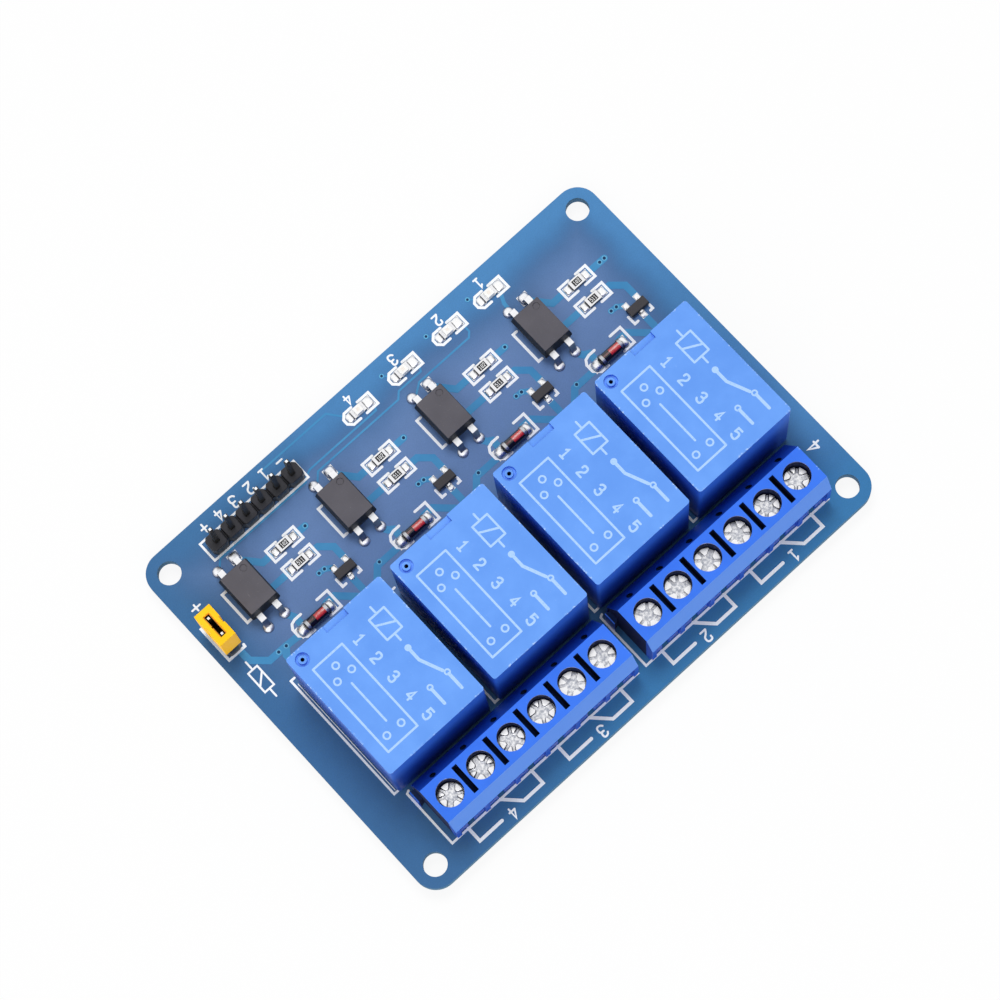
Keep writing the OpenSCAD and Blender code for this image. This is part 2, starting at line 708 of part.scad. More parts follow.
module optocoupler(k) color("darkslategray")
    translate([opto_x(k), opto_y, board_t + opto_lift]) difference() {
        intersection() {
            along_x(opto_w + 1) moulded_outline(opto_l);
            rotate(90) along_x(opto_l + 1) moulded_outline(opto_w);
        }
        translate([opto_mark_x, opto_mark_y, opto_body_h - opto_mark_depth])
            cylinder(h = 1, d = opto_mark_d, $fn = round_fn);
    }

// Side of a moulded body: straight band at half height, drawn in above and below
module moulded_outline(l) {
    mid = opto_body_h / 2;
    band = opto_band_h / 2;
    r = l / 2;
    polygon([[-r + opto_draft, 0], [r - opto_draft, 0], [r, mid - band], [r, mid + band],
             [r - opto_draft, opto_body_h], [-r + opto_draft, opto_body_h],
             [-r, mid + band], [-r, mid - band]]);
}

module optocoupler_leads() color("silver")
    for (k = [1:channel_count])
        translate([opto_x(k), opto_y, board_t])
            for (side = [0, 180]) rotate(side) for (sx = [-1, 1])
                translate([sx * opto_pitch / 2, 0, 0]) opto_lead();

// Flat strip: out of the body, slanting down, then a narrow tail through the board
module opto_lead() {
    z = opto_lift + opto_body_h / 2;
    y = opto_row / 2;
    knee = (opto_l + opto_lead_t) / 2 + opto_knee;
    t = opto_lead_t / 2;
    along_x(opto_shoulder_w)
        polygon([[opto_l / 2, z - t], [knee - t, z - t], [y - t, opto_stand],
                 [y + t, opto_stand], [knee + t, z + t], [opto_l / 2, z + t]]);
    translate([0, y, 0]) bar(opto_lead_w, opto_lead_t, tail_z, opto_stand + eps);
}

// ---- Surface parts ----

// Moves its children to the eight chip resistors
module at_resistors() {
    for (k = [1:channel_count]) for (row = [0, 1])
        translate([channel_x(k) + resistor_shift[k - 1], resistor_y + row * resistor_row_step,
                   board_t + chip_lift])
            children();
}

module at_leds() {
    for (x = led_x) translate([x, led_y, board_t + chip_lift]) children();
}

// The two metal ends of a chip
module chip_ends(h) {
    for (s = [-1, 1]) translate([s * (chip_l - chip_end_l) / 2, 0, 0])
        bar(chip_end_l, chip_w, 0, h);
}

module resistor_bodies() color("black")
    at_resistors() bar(chip_l - 2 * chip_end_l, chip_w, 0, resistor_h);

module resistor_ends() color("gainsboro") at_resistors() chip_ends(resistor_h);

// Base plate with a lens moulded over it
module led_bodies() color("lightyellow")
    at_leds() {
        bar(chip_l - 2 * chip_end_l, chip_w, 0, led_base_h);
        lens_top = chip_w / 2 - led_lens_draft;
        translate([0, 0, led_base_h - eps]) along_x(chip_l - 2 * led_lens_in)
            polygon([[-chip_w / 2, 0], [chip_w / 2, 0], [lens_top, led_lens_h],
                     [-lens_top, led_lens_h]]);
    }

module led_ends() color("khaki") at_leds() chip_ends(led_base_h);

module at_transistors() {
    for (k = [1:channel_count])
        translate([channel_x(k) + transistor_shift[k - 1], transistor_y, board_t + chip_lift])
            children();
}

// Body whose long sides are drawn in above its leads
module transistor_bodies() color("black")
    at_transistors() along_x(transistor_l) transistor_outline();

module transistor_outline() {
    r = transistor_w / 2;
    mid = transistor_h / 2;
    narrow = r - transistor_draft;
    polygon([[-narrow, 2 * transistor_lead_t], [narrow, 2 * transistor_lead_t],
             [r, mid - transistor_lead_t], [r, mid + transistor_lead_t],
             [narrow, transistor_h], [-narrow, transistor_h],
             [-r, mid + transistor_lead_t], [-r, mid - transistor_lead_t]]);
}

// Two leads towards the rear, one towards the relays
module transistor_leads() color("silver")
    at_transistors() {
        for (s = [-1, 1]) translate([s * transistor_lead_x, 0, 0]) gull_lead();
        rotate(180) gull_lead();
    }

// Lead that leaves the body's side, steps down and ends flat on its pad
module gull_lead() {
    y = transistor_w / 2;
    mid = transistor_h / 2;
    t = transistor_lead_t;
    knee = y + transistor_knee;
    along_x(transistor_lead_w)
        polygon([[y, mid - t / 2], [knee - t, mid - t / 2], [knee - t, 0],
                 [y + transistor_reach, 0], [y + transistor_reach, t], [knee, t],
                 [knee, mid + t / 2], [y, mid + t / 2]]);
}

module at_diodes() {
    for (k = [1:channel_count])
        translate([channel_x(k) + diode_shift[k - 1], diode_y,
                   board_t + chip_lift + diode_end_d / 2])
            rotate([0, 90, 0]) children();
}

module diode_bodies() color("firebrick")
    at_diodes() translate([0, 0, diode_end_l - diode_l / 2])
        cylinder(h = diode_l - 2 * diode_end_l, d = diode_d, $fn = round_fn);

module diode_ends() color("silver")
    at_diodes() for (s = [-1, 1]) translate([0, 0, s * (diode_l - diode_end_l) / 2])
        cylinder(h = diode_end_l, d = diode_end_d, center = true, $fn = round_fn);

// ---- Solder below the board ----

// Collar of solder round a lead, closed on the board and on the lead
module solder_collar(half) {
    difference() {
        translate([0, 0, -solder_h])
            cylinder(h = solder_h, r1 = half + solder_neck, r2 = half + solder_skirt,
                     $fn = round_fn);
        children();
    }
}

module solder_joints() color("gainsboro") {
    at_spots(frame_spots) solder_collar(norm([frame_pin_w, frame_pin_t]) / 2)
        bar(frame_pin_w, frame_pin_t, -tail_len, 1);
    at_spots(concat(common_spots, switched_spots))
        solder_collar(norm([relay_pin_w, relay_pin_t]) / 2)
            bar(relay_pin_w, relay_pin_t, -tail_len, 1);
    at_spots(coil_spots) solder_collar(coil_pin_d / 2)
        translate([0, 0, -tail_len]) cylinder(h = tail_len + 1, d = coil_pin_d, $fn = round_fn);
    at_spots(concat(signal_spots, jumper_spots)) solder_collar(norm([pin_w, pin_w]) / 2)
        bar(pin_w, pin_w, -tail_len, 1);
    at_spots(opto_spots) solder_collar(norm([opto_lead_w, opto_lead_t]) / 2)
        bar(opto_lead_w, opto_lead_t, -tail_len, 1);
}

// ---- Nodes ----

circuit_board();
terminal_block(0);  // terminal_block_left
terminal_block(1);  // terminal_block_right
terminal_frames(0);  // terminal_frames_left
terminal_frames(1);  // terminal_frames_right
for (i = [1:way_count]) wire_guard(i);
for (i = [1:way_count]) terminal_screw(i);
for (k = [1:channel_count]) relay(k);
relay_pins();
header_strip();
header_pins();
jumper_strip();
jumper_pins();
jumper_cap();
jumper_clip();
for (k = [1:channel_count]) optocoupler(k);
optocoupler_leads();
resistor_bodies();
resistor_ends();
led_bodies();
led_ends();
transistor_bodies();
transistor_leads();
diode_bodies();
diode_ends();
solder_joints();
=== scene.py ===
"""Looks of a relay module board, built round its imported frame.

Places and sizes are in millimetres in the frame's own axes: X along the row of relays,
Y from the terminal edge to the header edge, Z up. They become metres where a mesh is made.
"""

from __future__ import annotations

import json
import logging
import math
from dataclasses import dataclass, field
from enum import Enum
from typing import Iterable, Sequence

import bmesh
import bpy
from mathutils import Matrix, Vector


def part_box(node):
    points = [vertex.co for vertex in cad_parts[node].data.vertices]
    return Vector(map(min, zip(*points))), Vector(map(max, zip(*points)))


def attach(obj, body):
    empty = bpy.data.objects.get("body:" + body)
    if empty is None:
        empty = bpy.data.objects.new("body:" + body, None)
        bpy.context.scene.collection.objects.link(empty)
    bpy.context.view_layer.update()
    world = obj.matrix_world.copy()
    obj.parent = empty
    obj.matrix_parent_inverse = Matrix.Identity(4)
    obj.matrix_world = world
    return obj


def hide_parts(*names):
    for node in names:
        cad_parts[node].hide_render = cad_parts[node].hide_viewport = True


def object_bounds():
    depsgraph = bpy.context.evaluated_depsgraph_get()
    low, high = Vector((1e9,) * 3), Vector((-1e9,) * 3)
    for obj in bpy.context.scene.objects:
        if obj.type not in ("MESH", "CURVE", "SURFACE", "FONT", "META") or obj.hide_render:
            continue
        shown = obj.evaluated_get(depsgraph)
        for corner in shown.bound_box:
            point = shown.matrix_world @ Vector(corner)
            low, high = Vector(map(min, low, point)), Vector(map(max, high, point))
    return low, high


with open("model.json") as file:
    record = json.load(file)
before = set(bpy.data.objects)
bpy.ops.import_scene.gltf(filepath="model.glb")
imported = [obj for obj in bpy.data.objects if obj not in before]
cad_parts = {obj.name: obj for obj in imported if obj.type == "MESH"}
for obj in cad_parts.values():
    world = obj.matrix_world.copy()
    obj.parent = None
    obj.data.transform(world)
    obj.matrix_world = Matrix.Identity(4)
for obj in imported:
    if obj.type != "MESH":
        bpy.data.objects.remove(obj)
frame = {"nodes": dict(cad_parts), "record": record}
CAD_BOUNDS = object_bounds()
LOG = logging.getLogger("relay_board")

MM = 0.001
CHANNELS = 4
WAYS = 12
ROOT_BODY = "board"
WELD_GAP = 1e-7

Point = tuple[float, float]
Colour = tuple[float, float, float, float]


def tint(red: int, green: int, blue: int) -> Colour:
    """Turns a colour as it shows on a screen into the linear values that shaders take.

    Args:
        red: Red, from 0 to 255.
        green: Green, from 0 to 255.
        blue: Blue, from 0 to 255.

    Returns:
        The linear colour, opaque.
    """
    def linear(value: int) -> float:
        """Linear value of one part of the colour."""
        share = value / 255
        return share / 12.92 if share <= 0.04045 else ((share + 0.055) / 1.055) ** 2.4

    return linear(red), linear(green), linear(blue), 1.0


# ---------------------------------------------------------------------------------------
# Places that come from the frame
# ---------------------------------------------------------------------------------------


@dataclass(frozen=True)
class Box:
    """The extent of a node, or of one solid in it, in millimetres."""

    low: Vector
    high: Vector

    @classmethod
    def of(cls, node: str) -> Box:
        """Returns the extent of a whole node."""
        low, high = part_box(node)
        return cls(low / MM, high / MM)

    @property
    def x(self) -> float:
        """Middle along X."""
        return (self.low.x + self.high.x) / 2

    @property
    def y(self) -> float:
        """Middle along Y."""
        return (self.low.y + self.high.y) / 2

    @property
    def size(self) -> Vector:
        """Length along each axis."""
        return self.high - self.low


def merged(node: str) -> bmesh.types.BMesh:
    """Copies a node's mesh, and merges the vertices that share a place.

    Args:
        node: The node.

    Returns:
        The copy, which its user frees.
    """
    mesh = bmesh.new()
    mesh.from_mesh(frame["nodes"][node].data)
    bmesh.ops.remove_doubles(mesh, verts=mesh.verts, dist=WELD_GAP)
    return mesh


def solids(node: str) -> list[Box]:
    """Finds the separate solids of a node.

    Args:
        node: Name of a node that holds several solids.

    Returns:
        Their extents, from left to right, and from front to rear where they share a place along X.
    """
    mesh = merged(node)
    waiting = set(mesh.verts)
    found = []
    while waiting:
        island, edge = [], [waiting.pop()]
        while edge:
            vert = edge.pop()
            island.append(vert.co.copy())
            for link in vert.link_edges:
                other = link.other_vert(vert)
                if other in waiting:
                    waiting.remove(other)
                    edge.append(other)
        low = Vector(min(co[axis] for co in island) for axis in range(3))
        high = Vector(max(co[axis] for co in island) for axis in range(3))
        found.append(Box(low / MM, high / MM))
    mesh.free()
    return sorted(found, key=lambda box: (round(box.x, 1), box.y))


# ---------------------------------------------------------------------------------------
# Shader expressions
# ---------------------------------------------------------------------------------------

# Places of a Mix node's colour sockets, whose names it also gives to its number sockets
MIX_FIRST, MIX_SECOND, MIX_RESULT = 6, 7, 2


class Sock:
    """A shader value. Arithmetic on it adds Math nodes to the tree that it belongs to."""

    def __init__(self, nodes: Nodes, socket: bpy.types.NodeSocket) -> None:
        """Wraps the output socket of a node in a tree."""
        self.nodes = nodes
        self.socket = socket

    def _math(self, operation: str, *values: Sock | float) -> Sock:
        """Adds one Math node over the given values."""
        return self.nodes.node("ShaderNodeMath", {"operation": operation}, dict(enumerate(values)))

    def __add__(self, other: Sock | float) -> Sock:
        """Sum."""
        return self._math("ADD", self, other)

    def __radd__(self, other: float) -> Sock:
        """Sum with a number in front."""
        return self._math("ADD", other, self)

    def __sub__(self, other: Sock | float) -> Sock:
        """Difference."""
        return self._math("SUBTRACT", self, other)

    def __rsub__(self, other: float) -> Sock:
        """Difference from a number."""
        return self._math("SUBTRACT", other, self)

    def __mul__(self, other: Sock | float) -> Sock:
        """Product."""
        return self._math("MULTIPLY", self, other)

    def __rmul__(self, other: float) -> Sock:
        """Product with a number in front."""
        return self._math("MULTIPLY", other, self)

    def __gt__(self, other: Sock | float) -> Sock:
        """1 where this is the greater, otherwise 0."""
        return self._math("GREATER_THAN", self, other)

    def __lt__(self, other: Sock | float) -> Sock:
        """1 where this is the lesser, otherwise 0."""
        return self._math("LESS_THAN", self, other)

    def __abs__(self) -> Sock:
        """Size without the sign."""
        return self._math("ABSOLUTE", self)

    def least(self, other: Sock | float) -> Sock:
        """The lesser of two values."""
        return self._math("MINIMUM", self, other)

    def most(self, other: Sock | float) -> Sock:
        """The greater of two values."""
        return self._math("MAXIMUM", self, other)

    def rise(self, start: float, end: float) -> Sock:
        """Goes smoothly from 0 at start to 1 at end, which may be the lesser of the two.

        Args:
            start: Value at which it is 0.
            end: Value at which it is 1.

        Returns:
            The share, from 0 to 1.
        """
        if start > end:
            return 1 - self.rise(end, start)
        settings = {"interpolation_type": "SMOOTHSTEP", "clamp": True}
        inputs = {"Value": self, "From Min": start, "From Max": end}
        return self.nodes.node("ShaderNodeMapRange", settings, inputs)


class Nodes:
    """A node tree, whose nodes are written as expressions."""

    def __init__(self, tree: bpy.types.NodeTree) -> None:
        """Wraps a tree."""
        self.tree = tree

    def link(self, target: bpy.types.NodeSocket, value: Sock | float | Sequence[float]) -> None:
        """Gives an input socket a value, or links it to one.

        Args:
            target: The input socket.
            value: Its value, or the value that feeds it.
        """
        if isinstance(value, Sock):
            self.tree.links.new(value.socket, target)
        else:
            target.default_value = value

    def node(self, kind: str, settings: dict | None = None, inputs: dict | None = None,
             output: str | int = 0) -> Sock:
        """Adds a node.

        Args:
            kind: Blender's name for the type of node.
            settings: Attributes of the node, set before its sockets.
            inputs: Values or links of its input sockets, by name or place.
            output: Name or place of the output socket to return.

        Returns:
            The output socket.
        """
        made = self.tree.nodes.new(kind)
        for key, value in (settings or {}).items():
            setattr(made, key, value)
        for key, value in (inputs or {}).items():
            self.link(made.inputs[key], value)
        return Sock(self, made.outputs[output])


class Shader(Nodes):
    """A material with one Principled surface."""

    def __init__(self, name: str) -> None:
        """Makes the material.

        Args:
            name: Name of the material.
        """
        self.material = bpy.data.materials.new(name)
        self.material.use_nodes = True
        super().__init__(self.material.node_tree)
        self.surface = self.tree.nodes["Principled BSDF"]

    def place(self) -> Sock:
        """Place on the piece at rest, in millimetres.

        Returns:
            The place, as a vector.
        """
        object_place = self.node("ShaderNodeTexCoord", output="Object")
        inputs = {"Vector": object_place, "Scale": 1 / MM}
        return self.node("ShaderNodeVectorMath", {"operation": "SCALE"}, inputs)

    def axis(self, vector: Sock, name: str) -> Sock:
        """One part of a vector, named X, Y or Z."""
        return self.node("ShaderNodeSeparateXYZ", inputs={0: vector}, output=name)

    def spot(self) -> tuple[Sock, Sock, Sock]:
        """The place along X, along Y and along Z."""
        place = self.place()
        return self.axis(place, "X"), self.axis(place, "Y"), self.axis(place, "Z")

    def facing(self, name: str) -> Sock:
        """One part of the surface's own direction, named X, Y or Z."""
        return self.axis(self.node("ShaderNodeTexCoord", output="Normal"), name)

    def noise(self, size: float, detail: float = 2.0, stretch: Sequence[float] = (1, 1, 1),
              shift: float = 0.0) -> Sock:
        """Soft random values.

        Args:
            size: Width of a typical patch, in millimetres.
            detail: Number of finer layers.
            stretch: How much longer the patches are along each axis.
            shift: Moves the pattern, so that two finishes differ.

        Returns:
            A value about 0.5, mostly between 0.2 and 0.8.
        """
        scale = tuple(1 / (size * part) for part in stretch)
        inputs = {0: self.place(), 1: scale, 2: (shift, shift, shift)}
        spot = self.node("ShaderNodeVectorMath", {"operation": "MULTIPLY_ADD"}, inputs)
        inputs = {"Vector": spot, "Scale": 1.0, "Detail": detail, "Roughness": 0.55}
        return self.node("ShaderNodeTexNoise", inputs=inputs)

    def mix(self, share: Sock | float, first: Sock | Colour, second: Sock | Colour) -> Sock:
        """Blends two colours: share 0 gives the first, and 1 the second.

        Args:
            share: Share of the second colour.
            first: The first colour.
            second: The second colour.

        Returns:
            The blend.
        """
        settings = {"data_type": "RGBA", "clamp_factor": True}
        inputs = {0: share, MIX_FIRST: first, MIX_SECOND: second}
        return self.node("ShaderNodeMix", settings, inputs, MIX_RESULT)

    def dim(self, colour: Sock | Colour, share: Sock | float) -> Sock:
        """Scales a colour's brightness."""
        inputs = {0: colour if isinstance(colour, Sock) else colour[:3], "Scale": share}
        return self.node("ShaderNodeVectorMath", {"operation": "SCALE"}, inputs)

    def bump(self, height: Sock, depth: float) -> Sock:
        """Surface direction that a height gives.

        Args:
            height: The height, from 0 to 1.
            depth: What 1 stands for, in millimetres.

        Returns:
            The direction, for the Normal socket.
        """
        inputs = {"Strength": 1.0, "Distance": depth * MM, "Height": height}
        return self.node("ShaderNodeBump", inputs=inputs)

    def dress(self, **values: Sock | float | Sequence[float]) -> None:
        """Sets sockets of the surface, with spaces written as underscores."""
        for key, value in values.items():
            self.link(self.surface.inputs[key.replace("_", " ")], value)


# ---------------------------------------------------------------------------------------
# Finishes
# ---------------------------------------------------------------------------------------


@dataclass(frozen=True)
class Finish:
    """A named finish, which makes its material once."""

    name: str

    def shade(self, shader: Shader) -> None:
        """Sets the surface of a new material."""
        raise NotImplementedError

    def material(self) -> bpy.types.Material:
        """Returns the material, made on the first call.

        Returns:
            The material, the same one at each call.
        """
        label = f"{self.name}_finish"
        known = bpy.data.materials.get(label)
        if known:
            return known
        shader = Shader(label)
        self.shade(shader)
        return shader.material


@dataclass(frozen=True)
class SolderMask(Finish):
    """Blue mask over laminate: paler in the middle, painted light along the right and rear rim."""

    middle: Colour
    outer: Colour
    rim: Colour
    front: Colour
    laminate: Colour
    half_size: Vector
    cloud_size: float = 14.0
    drift: float = 6.0
    front_drift: float = 8.0
    inner_fade: Point = (0.8, 11.0)
    rear_fade: Point = (-3.0, 8.0)
    front_fade: Point = (-12.0, -27.0)
    left_fade: Point = (-36.0, -4.0)
    lit_fade: Point = (-30.0, 26.0)
    lit_slope: float = 0.7
    rim_fade: Point = (5.5, 1.0)
    speckle: float = 0.3
    speckle_size: float = 0.16
    blotch_size: float = 1.4
    weave_pitch: float = 0.9
    weave_depth: float = 0.006
    edge_roughness: float = 0.62
    gloss: float = 0.3
    lit_share: float = 0.8
    lit_least: float = 0.1
    blotch_share: float = 0.35
    weave_fade: Point = (0.3, 0.7)
    polish: float = 0.26
    smear: float = 0.12
    smear_size: float = 3.0

    def shade(self, shader: Shader) -> None:
        """Blends the zones of the mask, and lays the glass weave under it.

        Args:
            shader: The material.
        """
        x, y, _ = shader.spot()
        cloud = shader.noise(self.cloud_size, shift=3.0) - 0.5
        inset = (self.half_size.x - abs(x)).least(self.half_size.y - abs(y)) + cloud * self.drift
        inner = inset.rise(*self.inner_fade) * (y + cloud * self.drift).rise(*self.rear_fade)
        ahead = (y + cloud * self.front_drift).rise(*self.front_fade)
        # Painted light: the rim tone grows towards the right and rear, and fades towards the front.
        painted_rim_light = (x + y * self.lit_slope).rise(*self.lit_fade) * (1 - ahead)
        painted_rim_light = painted_rim_light * self.lit_share + self.lit_least
        colour = shader.mix(inner, self.outer, self.middle)
        colour = shader.mix(ahead * x.rise(*self.left_fade), colour, self.front)
        colour = shader.mix(inset.rise(*self.rim_fade) * painted_rim_light, colour, self.rim)
        blotches = (shader.noise(self.blotch_size, 2.0, shift=6.0) - 0.5) * self.blotch_share
        grain = shader.noise(self.speckle_size, 2.0) - 0.5 + blotches
        colour = shader.dim(colour, 1 + grain * self.speckle)
        level = abs(shader.facing("Z")) > 0.5
        weave = shader.noise(self.weave_pitch / 2, 1.0, (3, 1, 1)).rise(*self.weave_fade)
        cross = shader.noise(self.weave_pitch / 2, 1.0, (1, 3, 1), 5.0).rise(*self.weave_fade)
        smear = shader.noise(self.smear_size) * self.smear
        shader.dress(
            Base_Color=shader.mix(level, self.laminate, colour),
            Roughness=self.edge_roughness - level * (self.polish - smear),
            Normal=shader.bump((weave + cross) * 0.5, self.weave_depth),
            Specular_IOR_Level=self.gloss)


BLACK: Colour = (0.0, 0.0, 0.0, 1.0)
WHITE: Colour = (1.0, 1.0, 1.0, 1.0)


@dataclass(frozen=True)
class Pit:
    """An upright hole, whose inside gets painted shade."""

    x: float
    y: float
    reach_x: float
    reach_y: float
    below: float


@dataclass(frozen=True)
class Moulded(Finish):
    """Moulded plastic: fine grain, faint mottling, pale scuffs, painted shade on sides and in pits.
    """

    body: Colour
    mottle: Colour
    scuff: Colour
    roughness: float = 0.42
    grain: float = 0.14
    grain_depth: float = 0.006
    scuffs: float = 0.35
    gloss: float = 0.35
    # side: painted shade, the colour of upright faces.
    side: Colour | None = None
    # Colour of the painted shade inside the pits.
    painted_pit_shade: Colour = (0.0, 0.002, 0.012, 1.0)
    pits: tuple[Pit, ...] = ()
    # foot: painted shade on upright faces, growing towards their foot.
    foot: Colour | None = None
    foot_shade_fade: Point = (1.0, 9.0)
    # worn: boxes whose upper edges get pale spots, partly wear and partly painted highlight.
    worn: tuple[Box, ...] = ()
    worn_reach: float = 0.3
    mottle_size: float = 5.0
    streak_size: float = 0.5
    patch_size: float = 3.2
    speck_size: float = 0.13
    chip_size: float = 0.26
    chip_fade: Point = (0.5, 0.62)
    chipped_size: float = 2.4
    chipped_fade: Point = (0.48, 0.62)
    streak_fade: Point = (0.66, 0.78)
    patch_fade: Point = (0.5, 0.72)
    speck_fade: Point = (0.74, 0.8)
    unevenness: float = 0.16
    pit_roughness: float = 0.5
    # glow: strength of painted light on upright faces, though the part is no lamp.
    glow: float = 0.0

    def skin(self, shader: Shader) -> Sock | Colour:
        """Returns the moulding's colour, with painted shade on upright faces and at their foot.

        Args:
            shader: The material.

        Returns:
            The colour.
        """
        wide = shader.noise(self.mottle_size, 3.0, shift=1.0)
        colour = shader.mix(wide.rise(0.25, 0.8), self.body, self.mottle)
        if self.side is None:
            return colour
        side = self.side
        # Painted shade: upright faces darken towards their foot.
        if self.foot:
            depth = self.worn[0].high.z - shader.spot()[2]
            side = shader.mix(depth.rise(*self.foot_shade_fade), self.side, self.foot)
        # Painted shade: upright faces take the side colour.
        return shader.mix(abs(shader.facing("Z")).rise(0.85, 0.3), colour, side)

    def wear(self, shader: Shader) -> Sock | float:
        """Returns 1 on chipped spots of the upper edges, partly painted highlight, and 0 elsewhere.

        Args:
            shader: The material.

        Returns:
            The share, or plain 0 where nothing is worn.
        """
        if not self.worn:
            return 0.0
        x, y, z = shader.spot()
        near = 0.0
        for box in self.worn:
            reach_x, reach_y = box.size.x / 2, box.size.y / 2
            inset = (reach_x - abs(x - box.x)).least(reach_y - abs(y - box.y))
            near = (inset > -0.1) * inset.rise(self.worn_reach, 0.0) + near
        near = near * (self.worn[0].high.z - z).rise(self.worn_reach * 2, 0.05)
        chipped = shader.noise(self.chipped_size, 2.0, shift=13.0).rise(*self.chipped_fade)
        chips_and_glints = shader.noise(self.chip_size, 3.0, shift=12.0).rise(*self.chip_fade)
        return near * chipped * chips_and_glints

    def pit_shade_share(self, shader: Shader) -> Sock | float:
        """Returns 1 inside the pits, where shade is painted, and 0 elsewhere.

        Args:
            shader: The material.

        Returns:
            The share, or plain 0 where there are no pits.
        """
        if not self.pits:
            return 0.0
        x, y, z = shader.spot()
        inside = 0.0
        for painted_pit_shade in self.pits:
            inside = ((abs(x - painted_pit_shade.x) < painted_pit_shade.reach_x) * (abs(y - painted_pit_shade.y) < painted_pit_shade.reach_y)
                      * (z < painted_pit_shade.below) + inside)
        return inside

    def shade(self, shader: Shader) -> None:
        """Scuffs and specks the plastic, paints shade in its pits, adds its grain and a painted
        glow.

        Args:
            shader: The material.
        """
        wide = shader.noise(self.mottle_size, 3.0, shift=1.0)
        streaks = shader.noise(self.streak_size, 4.0, (0.35, 2.2, 1), 7.0)
        streaks = streaks.rise(*self.streak_fade)
        patches = shader.noise(self.patch_size, 2.0, shift=9.0).rise(*self.patch_fade)
        specks = shader.noise(self.speck_size, 1.0, shift=11.0).rise(*self.speck_fade)
        colour = shader.mix(streaks * patches * self.scuffs, self.skin(shader), self.scuff)
        colour = shader.mix(specks * self.scuffs, colour, self.scuff)
        colour = shader.mix(self.wear(shader), colour, self.scuff)
        # Painted shade inside the pits.
        pit_shade_share = self.pit_shade_share(shader)
        shader.dress(
            Base_Color=shader.mix(pit_shade_share, colour, self.painted_pit_shade),
            Roughness=(self.roughness + (wide - 0.5) * self.unevenness
                       + pit_shade_share * self.pit_roughness),
            Normal=shader.bump(shader.noise(self.grain, 2.0, shift=2.0), self.grain_depth),
            Specular_IOR_Level=self.gloss)
        # Painted light: upright faces glow in the side colour, though the plastic is no lamp.
        if self.glow and self.side:
            upright = abs(shader.facing("Z")).rise(0.6, 0.2)
            shader.dress(Emission_Color=shader.mix(upright, BLACK, self.side),
                         Emission_Strength=self.glow)


@dataclass(frozen=True)
class TerminalCase(Moulded):
    """Terminal moulding: painted light on the front slope, painted shade on rear, wells and slots.
    """

    front: Colour = BLACK
    rear: Colour = BLACK
    blocks: tuple[Box, ...] = ()
    flat_front: float = 0.0
    flat_rear: float = 0.0
    rear_slope: float = 2.6
    skin_depth: float = 0.3
    rim: float = 0.12
    pit_shade_strength: float = 0.92
    upward: float = 0.1
    slanted: float = 0.3

    def skin(self, shader: Shader) -> Sock:
        """Paints light on the front slope and shade on the rear slope.

        Args:
            shader: The material.

        Returns:
            The colour.
        """
        ahead, up = shader.facing("Y"), shader.facing("Z")
        # Painted light on the front slope, painted shade on the rear slope.
        front = (up > self.upward) * (ahead < -self.slanted)
        colour = shader.mix(front, super().skin(shader), self.front)
        return shader.mix((up > self.upward) * (ahead > self.slanted), colour, self.rear)

    def pit_shade_share(self, shader: Shader) -> Sock:
        """Returns the painted shade's share below the skin of the flat top and of the rear slope.

        Args:
            shader: The material.

        Returns:
            The share.
        """
        x, y, z = shader.spot()
        top = self.blocks[0].high.z - self.skin_depth
        surface = (top - (y - self.flat_rear) * self.rear_slope).least(top)
        inside = 0.0
        for box in self.blocks:
            inside = (x > box.low.x + self.rim) * (x < box.high.x - self.rim) + inside
        depth = (y > self.flat_front + self.rim) * (y < self.blocks[0].high.y - self.rim)
        return (z < surface) * depth * inside * self.pit_shade_strength


@dataclass(frozen=True)
class Plated(Finish):
    """Plated metal, bright where it looks up or down, with painted shade on its slopes and flanks.
    """

    metal: Colour
    painted_half_shade: Colour
    flank_shade: Colour
    roughness: float = 0.26
    scratch_depth: float = 0.004
    patch: float = 0.7
    unevenness: float = 0.5
    bright_fade: Point = (0.55, 0.95)
    flank_shade_fade: Point = (0.6, 0.15)
    smear_size: float = 0.9
    scratch_size: float = 0.12

    def base(self, shader: Shader) -> Sock:
        """Returns the metal's colour with its painted shade, before what a special part adds to it.

        Args:
            shader: The material.

        Returns:
            The colour.
        """
        cloud = shader.noise(self.patch, 3.0, shift=4.0) - 0.5
        # Painted shade: the tone falls from the bright metal as the face tilts, darkest on the
        # flanks.
        level = abs(shader.facing("Z")) + cloud * self.unevenness
        colour = shader.mix(level.rise(*self.bright_fade), self.painted_half_shade, self.metal)
        return shader.mix(level.rise(*self.flank_shade_fade), colour, self.flank_shade)

    def shade(self, shader: Shader) -> None:
        """Paints the metal's shade and scratches the surface.

        Args:
            shader: The material.
        """
        wide = shader.noise(self.smear_size, 3.0, shift=4.0)
        lines = shader.noise(self.scratch_size, 2.0, (0.3, 3.0, 1), 6.0)
        shader.dress(
            Base_Color=self.base(shader),
            Metallic=1.0,
            Roughness=self.roughness + (wide - 0.4) * 0.2,
            Normal=shader.bump(lines * 0.6 + wide * 0.4, self.scratch_depth))


@dataclass(frozen=True)
class Stepped(Plated):
    """Plated metal that is bright above a height, with painted shade on level faces below it."""

    recess_shade: Colour = (0.2, 0.2, 0.2, 1.0)
    height: float = 0.0

    def base(self, shader: Shader) -> Sock:
        """Paints shade on the level faces that lie below the height.

        Args:
            shader: The material.

        Returns:
            The colour.
        """
        # Painted shade in the head's recess, below the height.
        low = shader.spot()[2] < self.height
        cloud = shader.noise(0.35, 3.0, shift=1.0).rise(0.3, 0.72)
        shaded_recess = shader.mix(cloud, self.recess_shade, self.metal)
        level = shader.facing("Z").rise(0.2, 0.7)
        return shader.mix(low * level, super().base(shader), shaded_recess)


